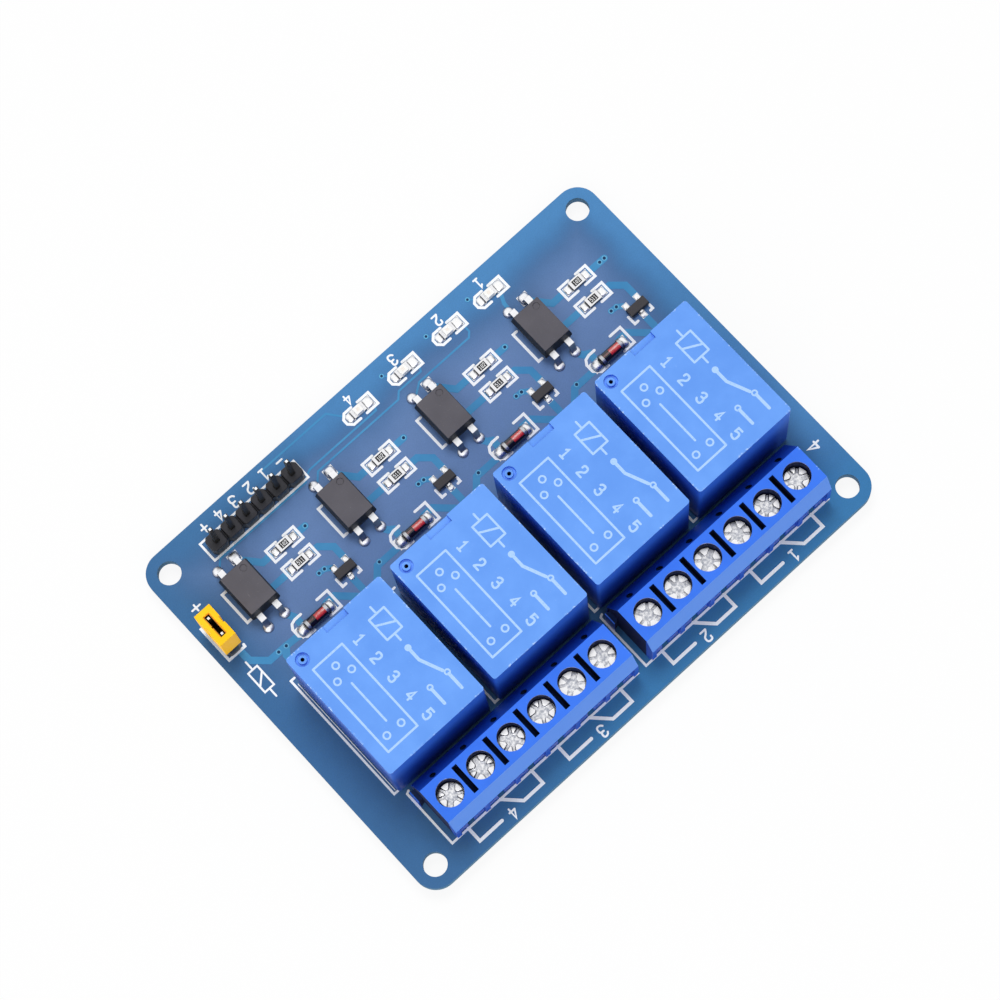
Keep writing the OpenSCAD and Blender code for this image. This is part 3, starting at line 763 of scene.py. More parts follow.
@dataclass(frozen=True)
class Ink(Finish):
    """Printed ink, with an uneven cover."""

    ink: Colour
    worn: Colour
    wear: float = 0.3
    roughness: float = 0.5

    def shade(self, shader: Shader) -> None:
        """Wears the ink in small spots.

        Args:
            shader: The material.
        """
        spots = shader.noise(0.22, 3.0, shift=8.0).rise(0.5, 0.8)
        shader.dress(
            Base_Color=shader.mix(spots * self.wear, self.ink, self.worn),
            Roughness=self.roughness + spots * 0.2,
            Normal=shader.bump(spots, 0.004))


@dataclass(frozen=True)
class Lamp(Finish):
    """Clear cast resin of a small light, over a pale plate with its chip in the middle."""

    resin: Colour
    plate: Colour
    chip: Colour
    middles: tuple[Point, ...]
    chip_fade: Point = (0.34, 0.12)
    chip_share: float = 0.45
    plate_share: float = 0.5
    roughness: float = 0.16
    coat: float = 0.5
    coat_roughness: float = 0.08

    def shade(self, shader: Shader) -> None:
        """Shows the plate through the resin, with a darker chip at each light's middle.

        Args:
            shader: The material.
        """
        x, y, _ = shader.spot()
        chip = 0.0
        for middle_x, middle_y in self.middles:
            reach = abs(x - middle_x).most(abs(y - middle_y))
            chip = reach.rise(*self.chip_fade) + chip
        cloud = shader.noise(0.5, 2.0, shift=2.0).rise(0.35, 0.7)
        colour = shader.mix(cloud * self.plate_share, self.resin, self.plate)
        shader.dress(
            Base_Color=shader.mix(chip * self.chip_share, colour, self.chip),
            Roughness=self.roughness,
            Coat_Weight=self.coat,
            Coat_Roughness=self.coat_roughness,
            Normal=shader.bump(cloud, 0.01))


@dataclass(frozen=True)
class BandedGlass(Finish):
    """Diode glass, red with a black band at the marked end; painted highlight and flank shade."""

    glass: Colour
    core: Colour
    band: Colour
    highlight_streak: Colour
    flank_shade: Colour
    bands: tuple[Point, ...]
    flank_shade_fade: Point = (0.92, 0.74)
    core_share: float = 0.4
    highlight_lean: float = 0.12
    streak_fade: Point = (0.24, 0.1)
    highlight_share: float = 0.75
    coat: float = 0.7
    coat_roughness: float = 0.05

    def shade(self, shader: Shader) -> None:
        """Bands the glass between the places along X; paints its highlight and flank shade.

        Args:
            shader: The material.
        """
        x = shader.spot()[0]
        band = 0.0
        for start, end in self.bands:
            band = (x > start) * (x < end) + band
        cloud = shader.noise(0.7, 3.0, shift=5.0)
        up, ahead = shader.facing("Z"), shader.facing("Y")
        colour = shader.mix(cloud.rise(0.4, 0.7) * self.core_share, self.glass, self.core)
        # Painted highlight: a pale line along the top of the glass.
        highlight_streak = abs(ahead - self.highlight_lean).rise(*self.streak_fade) * cloud.rise(0.2, 0.55)
        colour = shader.mix(highlight_streak * self.highlight_share, colour, self.highlight_streak)
        colour = shader.mix(band * (1 - highlight_streak * 0.25), colour, self.band)
        # Painted shade: the flanks take the darker colour.
        shader.dress(
            Base_Color=shader.mix(up.rise(*self.flank_shade_fade), colour, self.flank_shade),
            Roughness=0.1 + cloud * 0.12,
            Coat_Weight=self.coat,
            Coat_Roughness=self.coat_roughness,
            Normal=shader.bump(cloud, 0.008))


MASK = SolderMask("solder_mask", tint(99, 129, 176), tint(52, 97, 143), tint(76, 134, 188),
                  tint(50, 114, 164), tint(48, 112, 150), Box.of("circuit_board").size / 2)
TRACE = Moulded("masked_copper", tint(72, 146, 194), tint(56, 130, 182), tint(116, 186, 222),
                0.34, scuffs=0.1, grain_depth=0.003)
SILK = Ink("silk", tint(248, 251, 255), tint(230, 238, 248), 0.25)
VIA_RING = Ink("via_ring", tint(104, 176, 214), tint(70, 142, 190), 0.8)
# Painted shade: a dark disc stands for the shade inside each via's hole.
VIA_HOLE_SHADE = Moulded("via_shadow", tint(14, 50, 88), tint(8, 38, 72), tint(40, 80, 120), 0.5)
RELAY_PRINT = Ink("relay_print", tint(172, 206, 250), tint(126, 176, 246), 0.7)
# The side colours below are painted shade on each part's upright faces.
STRIP = Moulded("black_strip", tint(38, 38, 42), tint(50, 50, 56), tint(120, 120, 126), 0.42,
                side=tint(24, 24, 27))
OPTO_CASE = Moulded("black_case", tint(84, 82, 88), tint(94, 92, 98), tint(190, 188, 192),
                    0.55, grain=0.1, grain_depth=0.014, scuffs=0.35, gloss=0.3,
                    side=tint(16, 16, 18))
TRANSISTOR_CASE = Moulded("transistor_moulding", tint(58, 56, 58), tint(66, 64, 66),
                          tint(150, 150, 150), 0.5, grain=0.1, grain_depth=0.012, scuffs=0.2,
                          side=tint(18, 18, 20))
# In each plated finish, the second colour is painted shade on slopes and the third on flanks.
STEEL_FRAME = Plated("tinned_frame", tint(222, 223, 226), tint(186, 188, 192),
                     tint(168, 170, 176), 0.3)
LEAD = Plated("tinned_lead", tint(246, 247, 250), tint(176, 178, 186), tint(122, 124, 134), 0.3)
SOLDER = Plated("bright_solder", tint(246, 247, 250), tint(196, 198, 206), tint(136, 140, 152),
                0.42, 0.006, 0.6, 0.6)
CHIP_SOLDER = Plated("chip_solder", tint(252, 252, 252), tint(222, 223, 226), tint(128, 129, 134),
                     0.34, 0.02, 0.45, 0.9)
PAD = Plated("tinned_pad", tint(236, 237, 240), tint(210, 211, 215), tint(150, 152, 158), 0.36)
CHIP_END = Plated("chip_end", tint(240, 240, 242), tint(190, 191, 194), tint(96, 97, 102),
                  0.32, 0.01, 0.4, 0.5)
DIODE_END = Plated("diode_end", tint(206, 207, 210), tint(128, 128, 132), tint(46, 46, 50), 0.42)
SCREW = Stepped("screw_head", tint(250, 250, 252), tint(212, 213, 218), tint(150, 151, 158),
                0.26, 0.006, 0.5, 0.3, recess_shade=tint(168, 172, 184),
                height=Box.of("terminal_screw_1").high.z - 0.3)
PIN = Plated("square_pin", tint(250, 250, 250), tint(130, 128, 124), tint(72, 70, 66), 0.5)
BRASS = Plated("gilt_brass", tint(240, 170, 70), tint(196, 116, 20), tint(104, 50, 4), 0.4)
RESISTOR = Moulded("resistor_glaze", tint(30, 29, 31), tint(38, 37, 40), tint(120, 120, 120), 0.3)
RESISTOR_RIM = Ink("resistor_rim", tint(248, 248, 246), tint(220, 220, 218), 0.2)


# ---------------------------------------------------------------------------------------
# Flat outlines
# ---------------------------------------------------------------------------------------


def arc(centre: Point, radius: float, start: float, end: float, steps: int = 12) -> list[Point]:
    """Points along an arc, with both ends.

    Args:
        centre: Its centre.
        radius: Its radius.
        start: Angle of its first point, in degrees.
        end: Angle of its last point, in degrees.
        steps: Number of chords.

    Returns:
        The points, one more than the chords.
    """
    points = []
    for step in range(steps + 1):
        angle = math.radians(start + (end - start) * step / steps)
        points.append((centre[0] + radius * math.cos(angle), centre[1] + radius * math.sin(angle)))
    return points


def around(box: Box, *steps: Point) -> list[Point]:
    """Points given as steps along X and Y from the middle of a box."""
    return [(box.x + x, box.y + y) for x, y in steps]


def corners(left: float, front: float, right: float, rear: float) -> list[Point]:
    """Corners of a rectangle, from its front left and anticlockwise."""
    return [(left, front), (right, front), (right, rear), (left, rear)]


def eased(path: Sequence[Point]) -> list[Point]:
    """Rounds the corners of an open path by cutting them twice, with its two ends kept.

    Args:
        path: Its points.

    Returns:
        The points of the rounded path.
    """
    points = list(path)
    for _ in range(2):
        cut = [points[0]]
        for (ax, ay), (bx, by) in zip(points, points[1:]):
            cut.append((ax * 0.75 + bx * 0.25, ay * 0.75 + by * 0.25))
            cut.append((ax * 0.25 + bx * 0.75, ay * 0.25 + by * 0.75))
        cut.append(points[-1])
        points = cut
    return points


def turned(point: Point, degrees: float, centre: Point = (0.0, 0.0)) -> Point:
    """Turns a point about a centre, then moves it there: the point is given from that centre.

    Args:
        point: The point, seen from the centre.
        degrees: Angle, anticlockwise.
        centre: The centre.

    Returns:
        Its new place.
    """
    angle = math.radians(degrees)
    x, y = point
    return (centre[0] + x * math.cos(angle) - y * math.sin(angle),
            centre[1] + x * math.sin(angle) + y * math.cos(angle))


class Glyph(Enum):
    """Strokes of each plain figure and sign, in a box 1 wide and 1 high."""

    ZERO = "0"
    ONE = "1"
    TWO = "2"
    THREE = "3"
    FOUR = "4"
    FIVE = "5"
    PLUS = "+"
    MINUS = "-"

    def strokes(self) -> list[list[Point]]:
        """Returns the figure's strokes.

        Returns:
            The points of each stroke.
        """
        bowl = arc((0.5, 0.5), 0.5, 90, 450, 16)
        return {
            Glyph.ZERO: [bowl],
            Glyph.ONE: [[(0.2, 0.78), (0.55, 1), (0.55, 0)], [(0.2, 0), (0.9, 0)]],
            Glyph.TWO: [eased([(0.05, 0.74), (0.08, 1.04), (0.92, 1.04), (1.0, 0.56),
                               (0.4, 0.34), (0.03, 0.02)]), [(0.03, 0), (1, 0)]],
            Glyph.THREE: [eased([(0.06, 0.84), (0.3, 1.03), (0.95, 1.04), (0.94, 0.55),
                                 (0.4, 0.54)]),
                          eased([(0.4, 0.54), (1.05, 0.54), (1.02, -0.04), (0.3, -0.03),
                                 (0.03, 0.16)])],
            Glyph.FOUR: [[(0.72, 0), (0.72, 1), (0.02, 0.3)], [(0.02, 0.3), (1, 0.3)]],
            Glyph.FIVE: [[(0.92, 1), (0.14, 1), (0.1, 0.56)],
                         eased([(0.1, 0.56), (0.5, 0.68), (1.06, 0.62), (1.02, -0.05),
                                (0.3, -0.03), (0.02, 0.14)])],
            Glyph.PLUS: [[(0, 0.5), (1, 0.5)], [(0.5, 0.1), (0.5, 0.9)]],
            Glyph.MINUS: [[(0, 0.5), (1, 0.5)]],
        }[self]


@dataclass
class Layer:
    """Flat shapes of one finish, which lie a hair thick on a level face, as one mesh."""

    name: str
    finish: Finish
    low: float
    high: float
    slot: str
    stagger: float = 0.001
    levels: int = 16
    mitre_limit: float = 2.0
    least_cosine: float = 0.3
    hairpin: float = 0.2
    figure_share: float = 0.58
    narrow_share: float = 0.4
    wide_spacing: float = 0.8
    count: int = 0
    mesh: bmesh.types.BMesh = field(default_factory=bmesh.new)

    def _top(self) -> float:
        """Height of the next shape: each lies a hair off the last, so no two tops share a plane."""
        self.count += 1
        return self.high + self.stagger * (self.count % self.levels)

    def _ring(self, points: Sequence[Point], height: float) -> list[bmesh.types.BMVert]:
        """Adds a vertex at each point, at one height."""
        return [self.mesh.verts.new(Vector((x, y, height)) * MM) for x, y in points]

    def area(self, outline: Sequence[Point]) -> None:
        """Adds a slab with the given outline, which may run either way round.

        Args:
            outline: Its corners.
        """
        turn = sum(a[0] * b[1] - b[0] * a[1] for a, b in zip(outline, [*outline[1:], outline[0]]))
        points = list(outline) if turn > 0 else list(reversed(outline))
        below, above = self._ring(points, self.low), self._ring(points, self._top())
        self.mesh.faces.new(above)
        self.mesh.faces.new(list(reversed(below)))
        for i, start in enumerate(below):
            j = (i + 1) % len(points)
            self.mesh.faces.new((start, below[j], above[j], above[i]))

    def stroke(self, path: Sequence[Point], width: float, closed: bool = False) -> None:
        """Adds a line of one width, with round ends where it is open.

        Args:
            path: The points of its middle.
            width: Its width.
            closed: Whether it runs back to its first point.
        """
        points = [Vector(point) for point in path]
        count = len(points)
        sides: tuple[list[Point], list[Point]] = ([], [])
        for i, point in enumerate(points):
            before = points[i] - points[i - 1] if closed or i else points[1] - points[0]
            after = points[(i + 1) % count] - point if closed or i < count - 1 else before
            first, second = before.normalized(), after.normalized()
            both = first + second
            along = both.normalized() if both.length > self.hairpin else second
            cosine = max(along.dot(second), self.least_cosine)
            mitre = min(1 / cosine, self.mitre_limit) * width / 2
            across = Vector((-along.y, along.x)) * mitre
            sides[0].append(tuple(point + across))
            sides[1].append(tuple(point - across))
        if closed:
            self._loop(sides)
        else:
            self.area([*sides[1], *self._cap(points[-2], points[-1], width),
                       *reversed(sides[0]), *self._cap(points[1], points[0], width)])

    @staticmethod
    def _cap(inner: Vector, end: Vector, width: float) -> list[Point]:
        """Points of a round end, without the two that the sides hold."""
        heading = math.degrees(math.atan2(end.y - inner.y, end.x - inner.x))
        return arc(tuple(end), width / 2, heading - 90, heading + 90, 6)[1:-1]

    def _loop(self, sides: tuple[list[Point], list[Point]]) -> None:
        """Adds a closed band between two rings of points.

        Args:
            sides: Points of its left side and of its right side.
        """
        top = self._top()
        rings = [self._ring(side, height) for side in sides for height in (self.low, top)]
        left_low, left_high, right_low, right_high = rings
        count = len(left_low)
        for i in range(count):
            j = (i + 1) % count
            for a, b in ((left_low, left_high), (left_high, right_high),
                         (right_high, right_low), (right_low, left_low)):
                self.mesh.faces.new((a[i], a[j], b[j], b[i]))

    def disc(self, centre: Point, radius: float, steps: int = 20) -> None:
        """Adds a round spot."""
        self.area(arc(centre, radius, 0, 360, steps)[:-1])

    def circle(self, centre: Point, radius: float, width: float) -> None:
        """Adds a round line."""
        self.stroke(arc(centre, radius, 0, 360, 28)[:-1], width, closed=True)

    def rectangle(self, centre: Point, length: float, depth: float) -> None:
        """Adds a filled rectangle."""
        x, y = centre
        self.area(corners(x - length / 2, y - depth / 2, x + length / 2, y + depth / 2))

    def figures(self, text: str, centre: Point, height: float, turn: float, width: float,
                spacing: float = 0.9) -> None:
        """Writes plain figures and signs, centred on a point.

        Args:
            text: The figures.
            centre: Middle of the group.
            height: Height of a figure.
            turn: Direction of reading, in degrees from +X.
            width: Width of the strokes.
            spacing: Distance from one figure to the next, for a height of 1.
        """
        share = self.figure_share if spacing > self.wide_spacing else self.narrow_share
        wide, step = height * share, height * spacing
        for place, letter in enumerate(text):
            left = (place - (len(text) - 1) / 2) * step - wide / 2
            for stroke in Glyph(letter).strokes():
                path = [turned((left + x * wide, (y - 0.5) * height), turn, centre)
                        for x, y in stroke]
                self.stroke(path, width)

    def build(self) -> bpy.types.Object:
        """Makes the object and lets it ride on its body."""
        bmesh.ops.recalc_face_normals(self.mesh, faces=self.mesh.faces)
        return finished(self.mesh, self.name, self.finish, ROOT_BODY)


def finished(mesh: bmesh.types.BMesh, name: str, finish: Finish, body: str,
             smooth_below: float = 0.0) -> bpy.types.Object:
    """Turns a mesh into a piece that rides on a body.

    Args:
        mesh: The mesh in the frame's axes, in metres; it is freed.
        name: Name of the piece.
        finish: Its finish.
        body: Body it rides on.
        smooth_below: Angle in degrees below which edges are smooth; 0 keeps all of them sharp.

    Returns:
        The object.
    """
    data = bpy.data.meshes.new(name)
    if smooth_below:
        for face in mesh.faces:
            face.smooth = True
        for edge in mesh.edges:
            if len(edge.link_faces) == 2:
                edge.smooth = edge.calc_face_angle() < math.radians(smooth_below)
    mesh.to_mesh(data)
    mesh.free()
    data.materials.append(finish.material())
    piece = bpy.data.objects.new(name, data)
    bpy.context.scene.collection.objects.link(piece)
    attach(piece, body)
    return piece


# A softened edge: faces that meet flatter than the first angle are one face, edges sharper than
# the second are rounded, and edges flatter than the third, in degrees, are smooth. Only faces
# smaller than the last share of the rounding's square are smooth.
LEVEL_ANGLE = math.radians(0.4)
SHARP_ANGLE = math.radians(30)
SMOOTH_BELOW = 38.0
WIDE_FACE = 20


def body_of(node: str) -> str:
    """Name of the body that a node belongs to."""
    bodies = frame["record"]["behaviour"]["bodies"]
    return next(name for name, members in bodies.items() if node in members)


def dressed(node: str, finish: Finish) -> bpy.types.Object:
    """Gives a node that keeps its own mesh its finish.

    Args:
        node: The node.
        finish: Its finish.

    Returns:
        The node's object.
    """
    piece = frame["nodes"][node]
    piece.data.materials.clear()
    piece.data.materials.append(finish.material())
    return piece


def softened(node: str, name: str, finish: Finish, radius: float,
             rings: int = 2) -> bpy.types.Object:
    """Stands a copy with rounded edges in for a node.

    Args:
        node: The node.
        name: Name of the copy.
        finish: Its finish.
        radius: Width of the rounding, in millimetres.
        rings: Number of faces across the rounding.

    Returns:
        The copy.
    """
    mesh = merged(node)
    bmesh.ops.dissolve_limit(mesh, angle_limit=LEVEL_ANGLE, verts=mesh.verts, edges=mesh.edges)
    edges = [edge for edge in mesh.edges
             if len(edge.link_faces) == 2 and edge.calc_face_angle() > SHARP_ANGLE]
    bmesh.ops.bevel(mesh, geom=edges, offset=radius * MM, offset_type="OFFSET", segments=rings,
                    profile=0.5, affect="EDGES", clamp_overlap=True)
    piece = finished(mesh, name, finish, body_of(node), SMOOTH_BELOW)
    wide = (radius * MM) ** 2 * WIDE_FACE
    for face in piece.data.polygons:
        face.use_smooth = face.area < wide
    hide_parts(node)
    return piece


# ---------------------------------------------------------------------------------------
# Solder
# ---------------------------------------------------------------------------------------


@dataclass
class Fillets:
    """Small mounds of solder, as one mesh."""

    name: str
    finish: Finish = SOLDER
    slot: str = "solder"
    mesh: bmesh.types.BMesh = field(default_factory=bmesh.new)
    steps: int = 18
    rings: int = 5
    fullness: float = 0.8
    smooth_below: float = 60.0

    def mound(self, centre: Point, base: float, half: Point, height: float,
              squareness: float = 2.0) -> None:
        """Adds a mound with a level base.

        Args:
            centre: Its middle.
            base: Height of its foot.
            half: Half its length and half its depth.
            height: Its own height.
            squareness: 2 for an oval foot, and more for a squarer one.
        """
        loops = []
        for ring in range(self.rings):
            tilt = ring / self.rings * math.pi / 2
            shrink, rise = math.cos(tilt) ** self.fullness, math.sin(tilt)
            loop = []
            for step in range(self.steps):
                angle = 2 * math.pi * step / self.steps
                cos, sin = math.cos(angle), math.sin(angle)
                reach = (abs(cos) ** squareness + abs(sin) ** squareness) ** (-1 / squareness)
                spot = Vector((centre[0] + half[0] * cos * reach * shrink,
                               centre[1] + half[1] * sin * reach * shrink, base + height * rise))
                loop.append(self.mesh.verts.new(spot * MM))
            loops.append(loop)
        top = self.mesh.verts.new(Vector((*centre, base + height)) * MM)
        for lower, upper in zip(loops, loops[1:]):
            for i in range(self.steps):
                j = (i + 1) % self.steps
                self.mesh.faces.new((lower[i], lower[j], upper[j], upper[i]))
        for i in range(self.steps):
            self.mesh.faces.new((loops[-1][i], loops[-1][(i + 1) % self.steps], top))
        self.mesh.faces.new(list(reversed(loops[0])))

    def build(self) -> bpy.types.Object:
        """Makes the object, on the board's body."""
        return finished(self.mesh, self.name, self.finish, ROOT_BODY,
                        self.smooth_below)


# ---------------------------------------------------------------------------------------
# Sub-assemblies
# ---------------------------------------------------------------------------------------


@dataclass(frozen=True)
class ViaSize:
    """Radius of a via's copper and of its hole, and the pale ring between them."""

    copper: float = 0.42
    hole: float = 0.2
    ring: float = 0.12
    gap: float = 0.08


@dataclass(frozen=True)
class Channel:
    """What stands on the board for one channel, which its copper and silk go round."""

    place: int
    opto: Box
    relay: Box
    near: Box
    far: Box
    diode: Box
    transistor: Box
    pads: Sequence[Point]


@dataclass
class PrintedBoard:
    """The board's own surface: masked copper, vias, silk lines and figures."""

    sink: float = 0.02
    copper_height: float = 0.025
    ring_height: float = 0.044
    hole_height: float = 0.062
    silk_height: float = 0.065
    silk_width: float = 0.3
    bracket_width: float = 0.36
    text_width: float = 0.25
    text_height: float = 1.5
    wide_trace: float = 0.95
    thin_trace: float = 0.26
    chip_reach: float = 1.4
    far_reach: tuple[float, ...] = (3.5, 3.9, 3.9, 4.78)
    leg: Point = (0.95, 1.3)
    light_via: ViaSize = ViaSize(0.36, 0.17, 0.11)
    light_gaps: Point = (-0.42, 0.64)
    block_length: float = 31.1

    def __post_init__(self) -> None:
        """Reads the places of everything that stands on the board, and makes empty layers."""
        self.board = Box.of("circuit_board")
        self.header = Box.of("header_strip")
        self.jumper = Box.of("jumper_strip")
        self.lights = solids("led_bodies")
        self.channels = self._channels()
        self.copper = self._layer("board_traces", TRACE, self.copper_height)
        self.rings = self._layer("board_via_rings", VIA_RING, self.ring_height)
        self.holes = self._layer("board_via_shades", VIA_HOLE_SHADE, self.hole_height)
        self.silk = self._layer("board_silk", SILK, self.silk_height)

    def _layer(self, name: str, finish: Finish, height: float) -> Layer:
        """Makes an empty layer that stands a given height above the board."""
        top = self.board.high.z
        return Layer(name, finish, top - self.sink, top + height, "board")

    def _channels(self) -> list[Channel]:
        """Gathers each channel's parts, from left to right.

        Returns:
            The channels; their pads go front left, rear left, front right, rear right.
        """
        resistors, leads = solids("resistor_bodies"), solids("optocoupler_leads")
        diodes, transistors = solids("diode_bodies"), solids("transistor_bodies")
        count = len(leads) // CHANNELS
        channels = []
        for k in range(CHANNELS):
            opto = Box.of(f"optocoupler_{CHANNELS - k}")
            pads = [(lead.x, lead.low.y if lead.y < opto.y else lead.high.y)
                    for lead in leads[k * count:(k + 1) * count]]
            channels.append(Channel(k, opto, Box.of(f"relay_{CHANNELS - k}"), resistors[2 * k],
                                    resistors[2 * k + 1], diodes[k], transistors[k], pads))
        return channels

    def via(self, *spots: Point, size: ViaSize = ViaSize()) -> None:
        """Adds vias, the masked ring round each, and painted shade in each hole.

        Args:
            spots: Their middles.
            size: Their radii.
        """
        for spot in spots:
            self.copper.disc(spot, size.copper)
            self.rings.circle(spot, size.hole + size.gap, size.ring)
            self.holes.disc(spot, size.hole, 14)

    def line(self, *path: Point) -> None:
        """Adds a silk line."""
        self.silk.stroke(path, self.silk_width)

    def bracket(self, *path: Point) -> None:
        """Adds a bolder silk line, as it stands round the small parts."""
        self.silk.stroke(path, self.bracket_width)

    def brackets(self, box: Box, length: float, depth: float, gap: float) -> None:
        """Adds two facing brackets round a part, open in the middle of its long sides.

        Args:
            box: The part.
            length: Distance between the brackets' closed ends.
            depth: Distance between their arms.
            gap: Distance between their open ends.
        """
        for side in (-1, 1):
            edge, inner = side * length / 2, side * gap / 2
            self.bracket(*around(box, (inner, -depth / 2), (edge, -depth / 2),
                                 (edge, depth / 2), (inner, depth / 2)))

    def _resistor_copper(self, part: Channel) -> None:
        """Joins the optocoupler to both resistors, the far one to its vias, the near one on.

        Args:
            part: The channel.
        """
        opto, near, far, base = part.opto, part.near, part.far, self._leg(part, 1)
        wide, reach = self.wide_trace, self.chip_reach
        self.copper.stroke([part.pads[3], (opto.high.x - 0.8, far.y + 2.6),
                            (opto.high.x + 1.3, far.y + 0.1), (far.x - reach, far.y + 0.1)], wide)
        self.copper.stroke([(opto.x, near.y), (near.x - reach, near.y)], wide)
        end = far.x + self.far_reach[part.place]
        self.copper.stroke([(far.x + reach, far.y), (end, far.y)], wide)
        second = [(end - 0.8, far.y)] if part.place == CHANNELS - 1 else []
        self.via((end, far.y), *second)
        self.copper.stroke([(near.x + reach, near.y), (base[0] - 1.5, near.y),
                            (base[0], near.y - 1.4), base], wide)

    def _leg(self, part: Channel, side: int) -> Point:
        """Place of a transistor's rear leg, on the left for -1 and on the right for 1."""
        return part.transistor.x + side * self.leg[0], part.transistor.y + self.leg[1]

    def _transistor_copper(self, part: Channel) -> None:
        """Joins the transistor to its two vias and, with the diode, to the relay.

        Args:
            part: The channel.
        """
        transistor, diode, wide = part.transistor, part.diode, self.wide_trace
        x, y = self._leg(part, -1)
        vias = [(x - 0.9, y + 0.65), (x - 1.76, y + 0.7)]
        self.copper.stroke([(x, y), *vias], wide * 0.8)
        self.via(*vias)
        inside = part.relay.high.y - 2
        self.copper.stroke([(transistor.x, transistor.y - self.leg[1]), (transistor.x, inside)],
                           wide)
        self.copper.stroke([*around(diode, (2.0, 0.75), (3.4, 0.75), (5.9, -1.7)),
                            (diode.x + 5.9, inside)], wide)

    def _diode_copper(self, part: Channel) -> None:
        """Joins the optocoupler to the diode, and the diode to the supply beside its relay.

        Args:
            part: The channel.
        """
        diode, relay, wide = part.diode, part.relay, self.wide_trace
        x, y = part.pads[2]
        self.copper.stroke([(x, y), (x + 0.5, y - 0.9), *around(diode, (-2.0, 2.0), (-2.0, 0))],
                           wide)
        start = (diode.x - 2.2, diode.y - 0.1)
        if part.place:
            rail = relay.low.x - 0.9
            self.copper.stroke([start, (rail + 1.2, diode.y - 0.1), (rail, diode.y - 1.4),
                                (rail, relay.high.y - 2.5)], wide)
            self.via((rail + 1.7, diode.y + 0.1))
        else:
            supply = self.jumper.x + 0.5
            self.copper.stroke([start, (diode.x - 5.3, diode.y + 0.1),
                                (supply + 1.85, diode.y + 0.1), (supply, diode.y + 1.85),
                                (supply - 0.1, self.jumper.low.y + 1)], wide)
            first, second, turn = around(diode, (-5.25, 0.08), (-6.47, 0.13), (-6.0, -0.8))
            self.copper.stroke([first, turn, (turn[0], relay.high.y - 2)], wide)
            self.via(first, second)

    def _channel_silk(self, part: Channel) -> None:
        """Adds the outlines round one channel's parts.

        Args:
            part: The channel.
        """
        for box in (part.near, part.far):
            self.brackets(box, 4.64, 1.92, 1.24)
        opto, relay = part.opto, part.relay
        left, front, rear = opto.low.x - 0.62, opto.y - 2.48, opto.y + 2.35
        self.bracket((opto.low.x, rear), (left, rear), (left, front), (opto.low.x, front))
        # The bracket at the diode's marked end has cut corners
        self.bracket(*around(part.diode, (-1.25, 1.85), (-2.26, 1.85), (-2.9, 1.65), (-3.3, 1.05),
                             (-3.3, -0.05), (-2.5, -0.85), (-1.25, -0.85)))
        self.bracket(*around(part.diode, (1.45, 1.85), (3.2, 1.85), (3.2, -0.85), (1.45, -0.85)))
        self.bracket(*around(part.transistor, (-1.68, -0.1), (-1.66, -1.33), (-1.1, -1.33)))
        self.bracket(*around(part.transistor, (1.42, -0.75), (1.42, -1.33), (1.0, -1.36)))
        left, rear, front = relay.low.x - 0.6, relay.high.y + 0.74, relay.low.y + 0.4
        self.line((relay.low.x, rear), (left, rear), (left, front), (relay.low.x + 0.3, front))
        # Pale line inside the first relay's outline: partly silk, partly a painted highlight.
        if part.place == 0:
            self.silk.stroke([(left + 0.42, rear - 0.9), (left + 0.42, front + 0.3)],
                             self.silk_width * 0.3)

    def lights_row(self) -> None:
        """Adds what surrounds the four lights, and the lines that feed them."""
        thin = self.thin_trace
        left_gap, right_gap = self.light_gaps
        for place, light in enumerate(self.lights):
            self.bracket(*around(light, (left_gap, 0.95), (-1.6, 0.95), (-2.2, 0.35),
                                 (-2.2, -0.38), (-1.6, -0.98), (left_gap, -0.98)))
            self.bracket(*around(light, (right_gap, 0.95), (2.5, 0.95), (2.5, -0.98),
                                 (right_gap, -0.98)))
            self.silk.figures(str(CHANNELS - place), (light.x, light.y + 1.98), 1.35, 180,
                              self.text_width)
            if place:
                spot = (light.x - 2.5, light.y + 1.36)
                self.copper.stroke([spot, (light.x - 2.0, light.y + 0.9)], thin)
                self.via(spot, size=self.light_via)
        first, second, third, last = self.lights
        lane, end = self.header.low.y - 0.4, self.header.high.x
        pads = [part.pads[1] for part in self.channels]
        self.copper.stroke([*around(first, (1.9, -0.9), (1.7, -1.5)), (end + 0.9, first.y - 1.5),
                            (end, lane + 0.55), (end - 0.6, lane),
                            (self.channels[0].opto.x, lane), pads[0]], thin)
        self.copper.stroke([*around(second, (1.9, -0.9), (1.6, -1.6), (-2.2, -1.6), (-3.0, -2.4)),
                            (pads[1][0] + 1.6, second.y - 2.4), (pads[1][0] + 0.4, pads[1][1])],
                           thin)
        self.copper.stroke([*around(third, (2.0, -0.9), (2.0, -1.9), (1.4, -2.5)),
                            (pads[2][0] + 2.0, third.y - 2.5), (pads[2][0] + 0.4, pads[2][1])],
                           thin)
        self.copper.stroke([*around(last, (1.2, -0.9), (0.6, -2.2)),
                            (pads[3][0] + 0.2, pads[3][1])], thin * 2)
        self.copper.stroke([*around(first, (-1.8, 0.6), (-3.3, 2.55)),
                            (self.header.x + 4.0, first.y + 2.55)], thin)

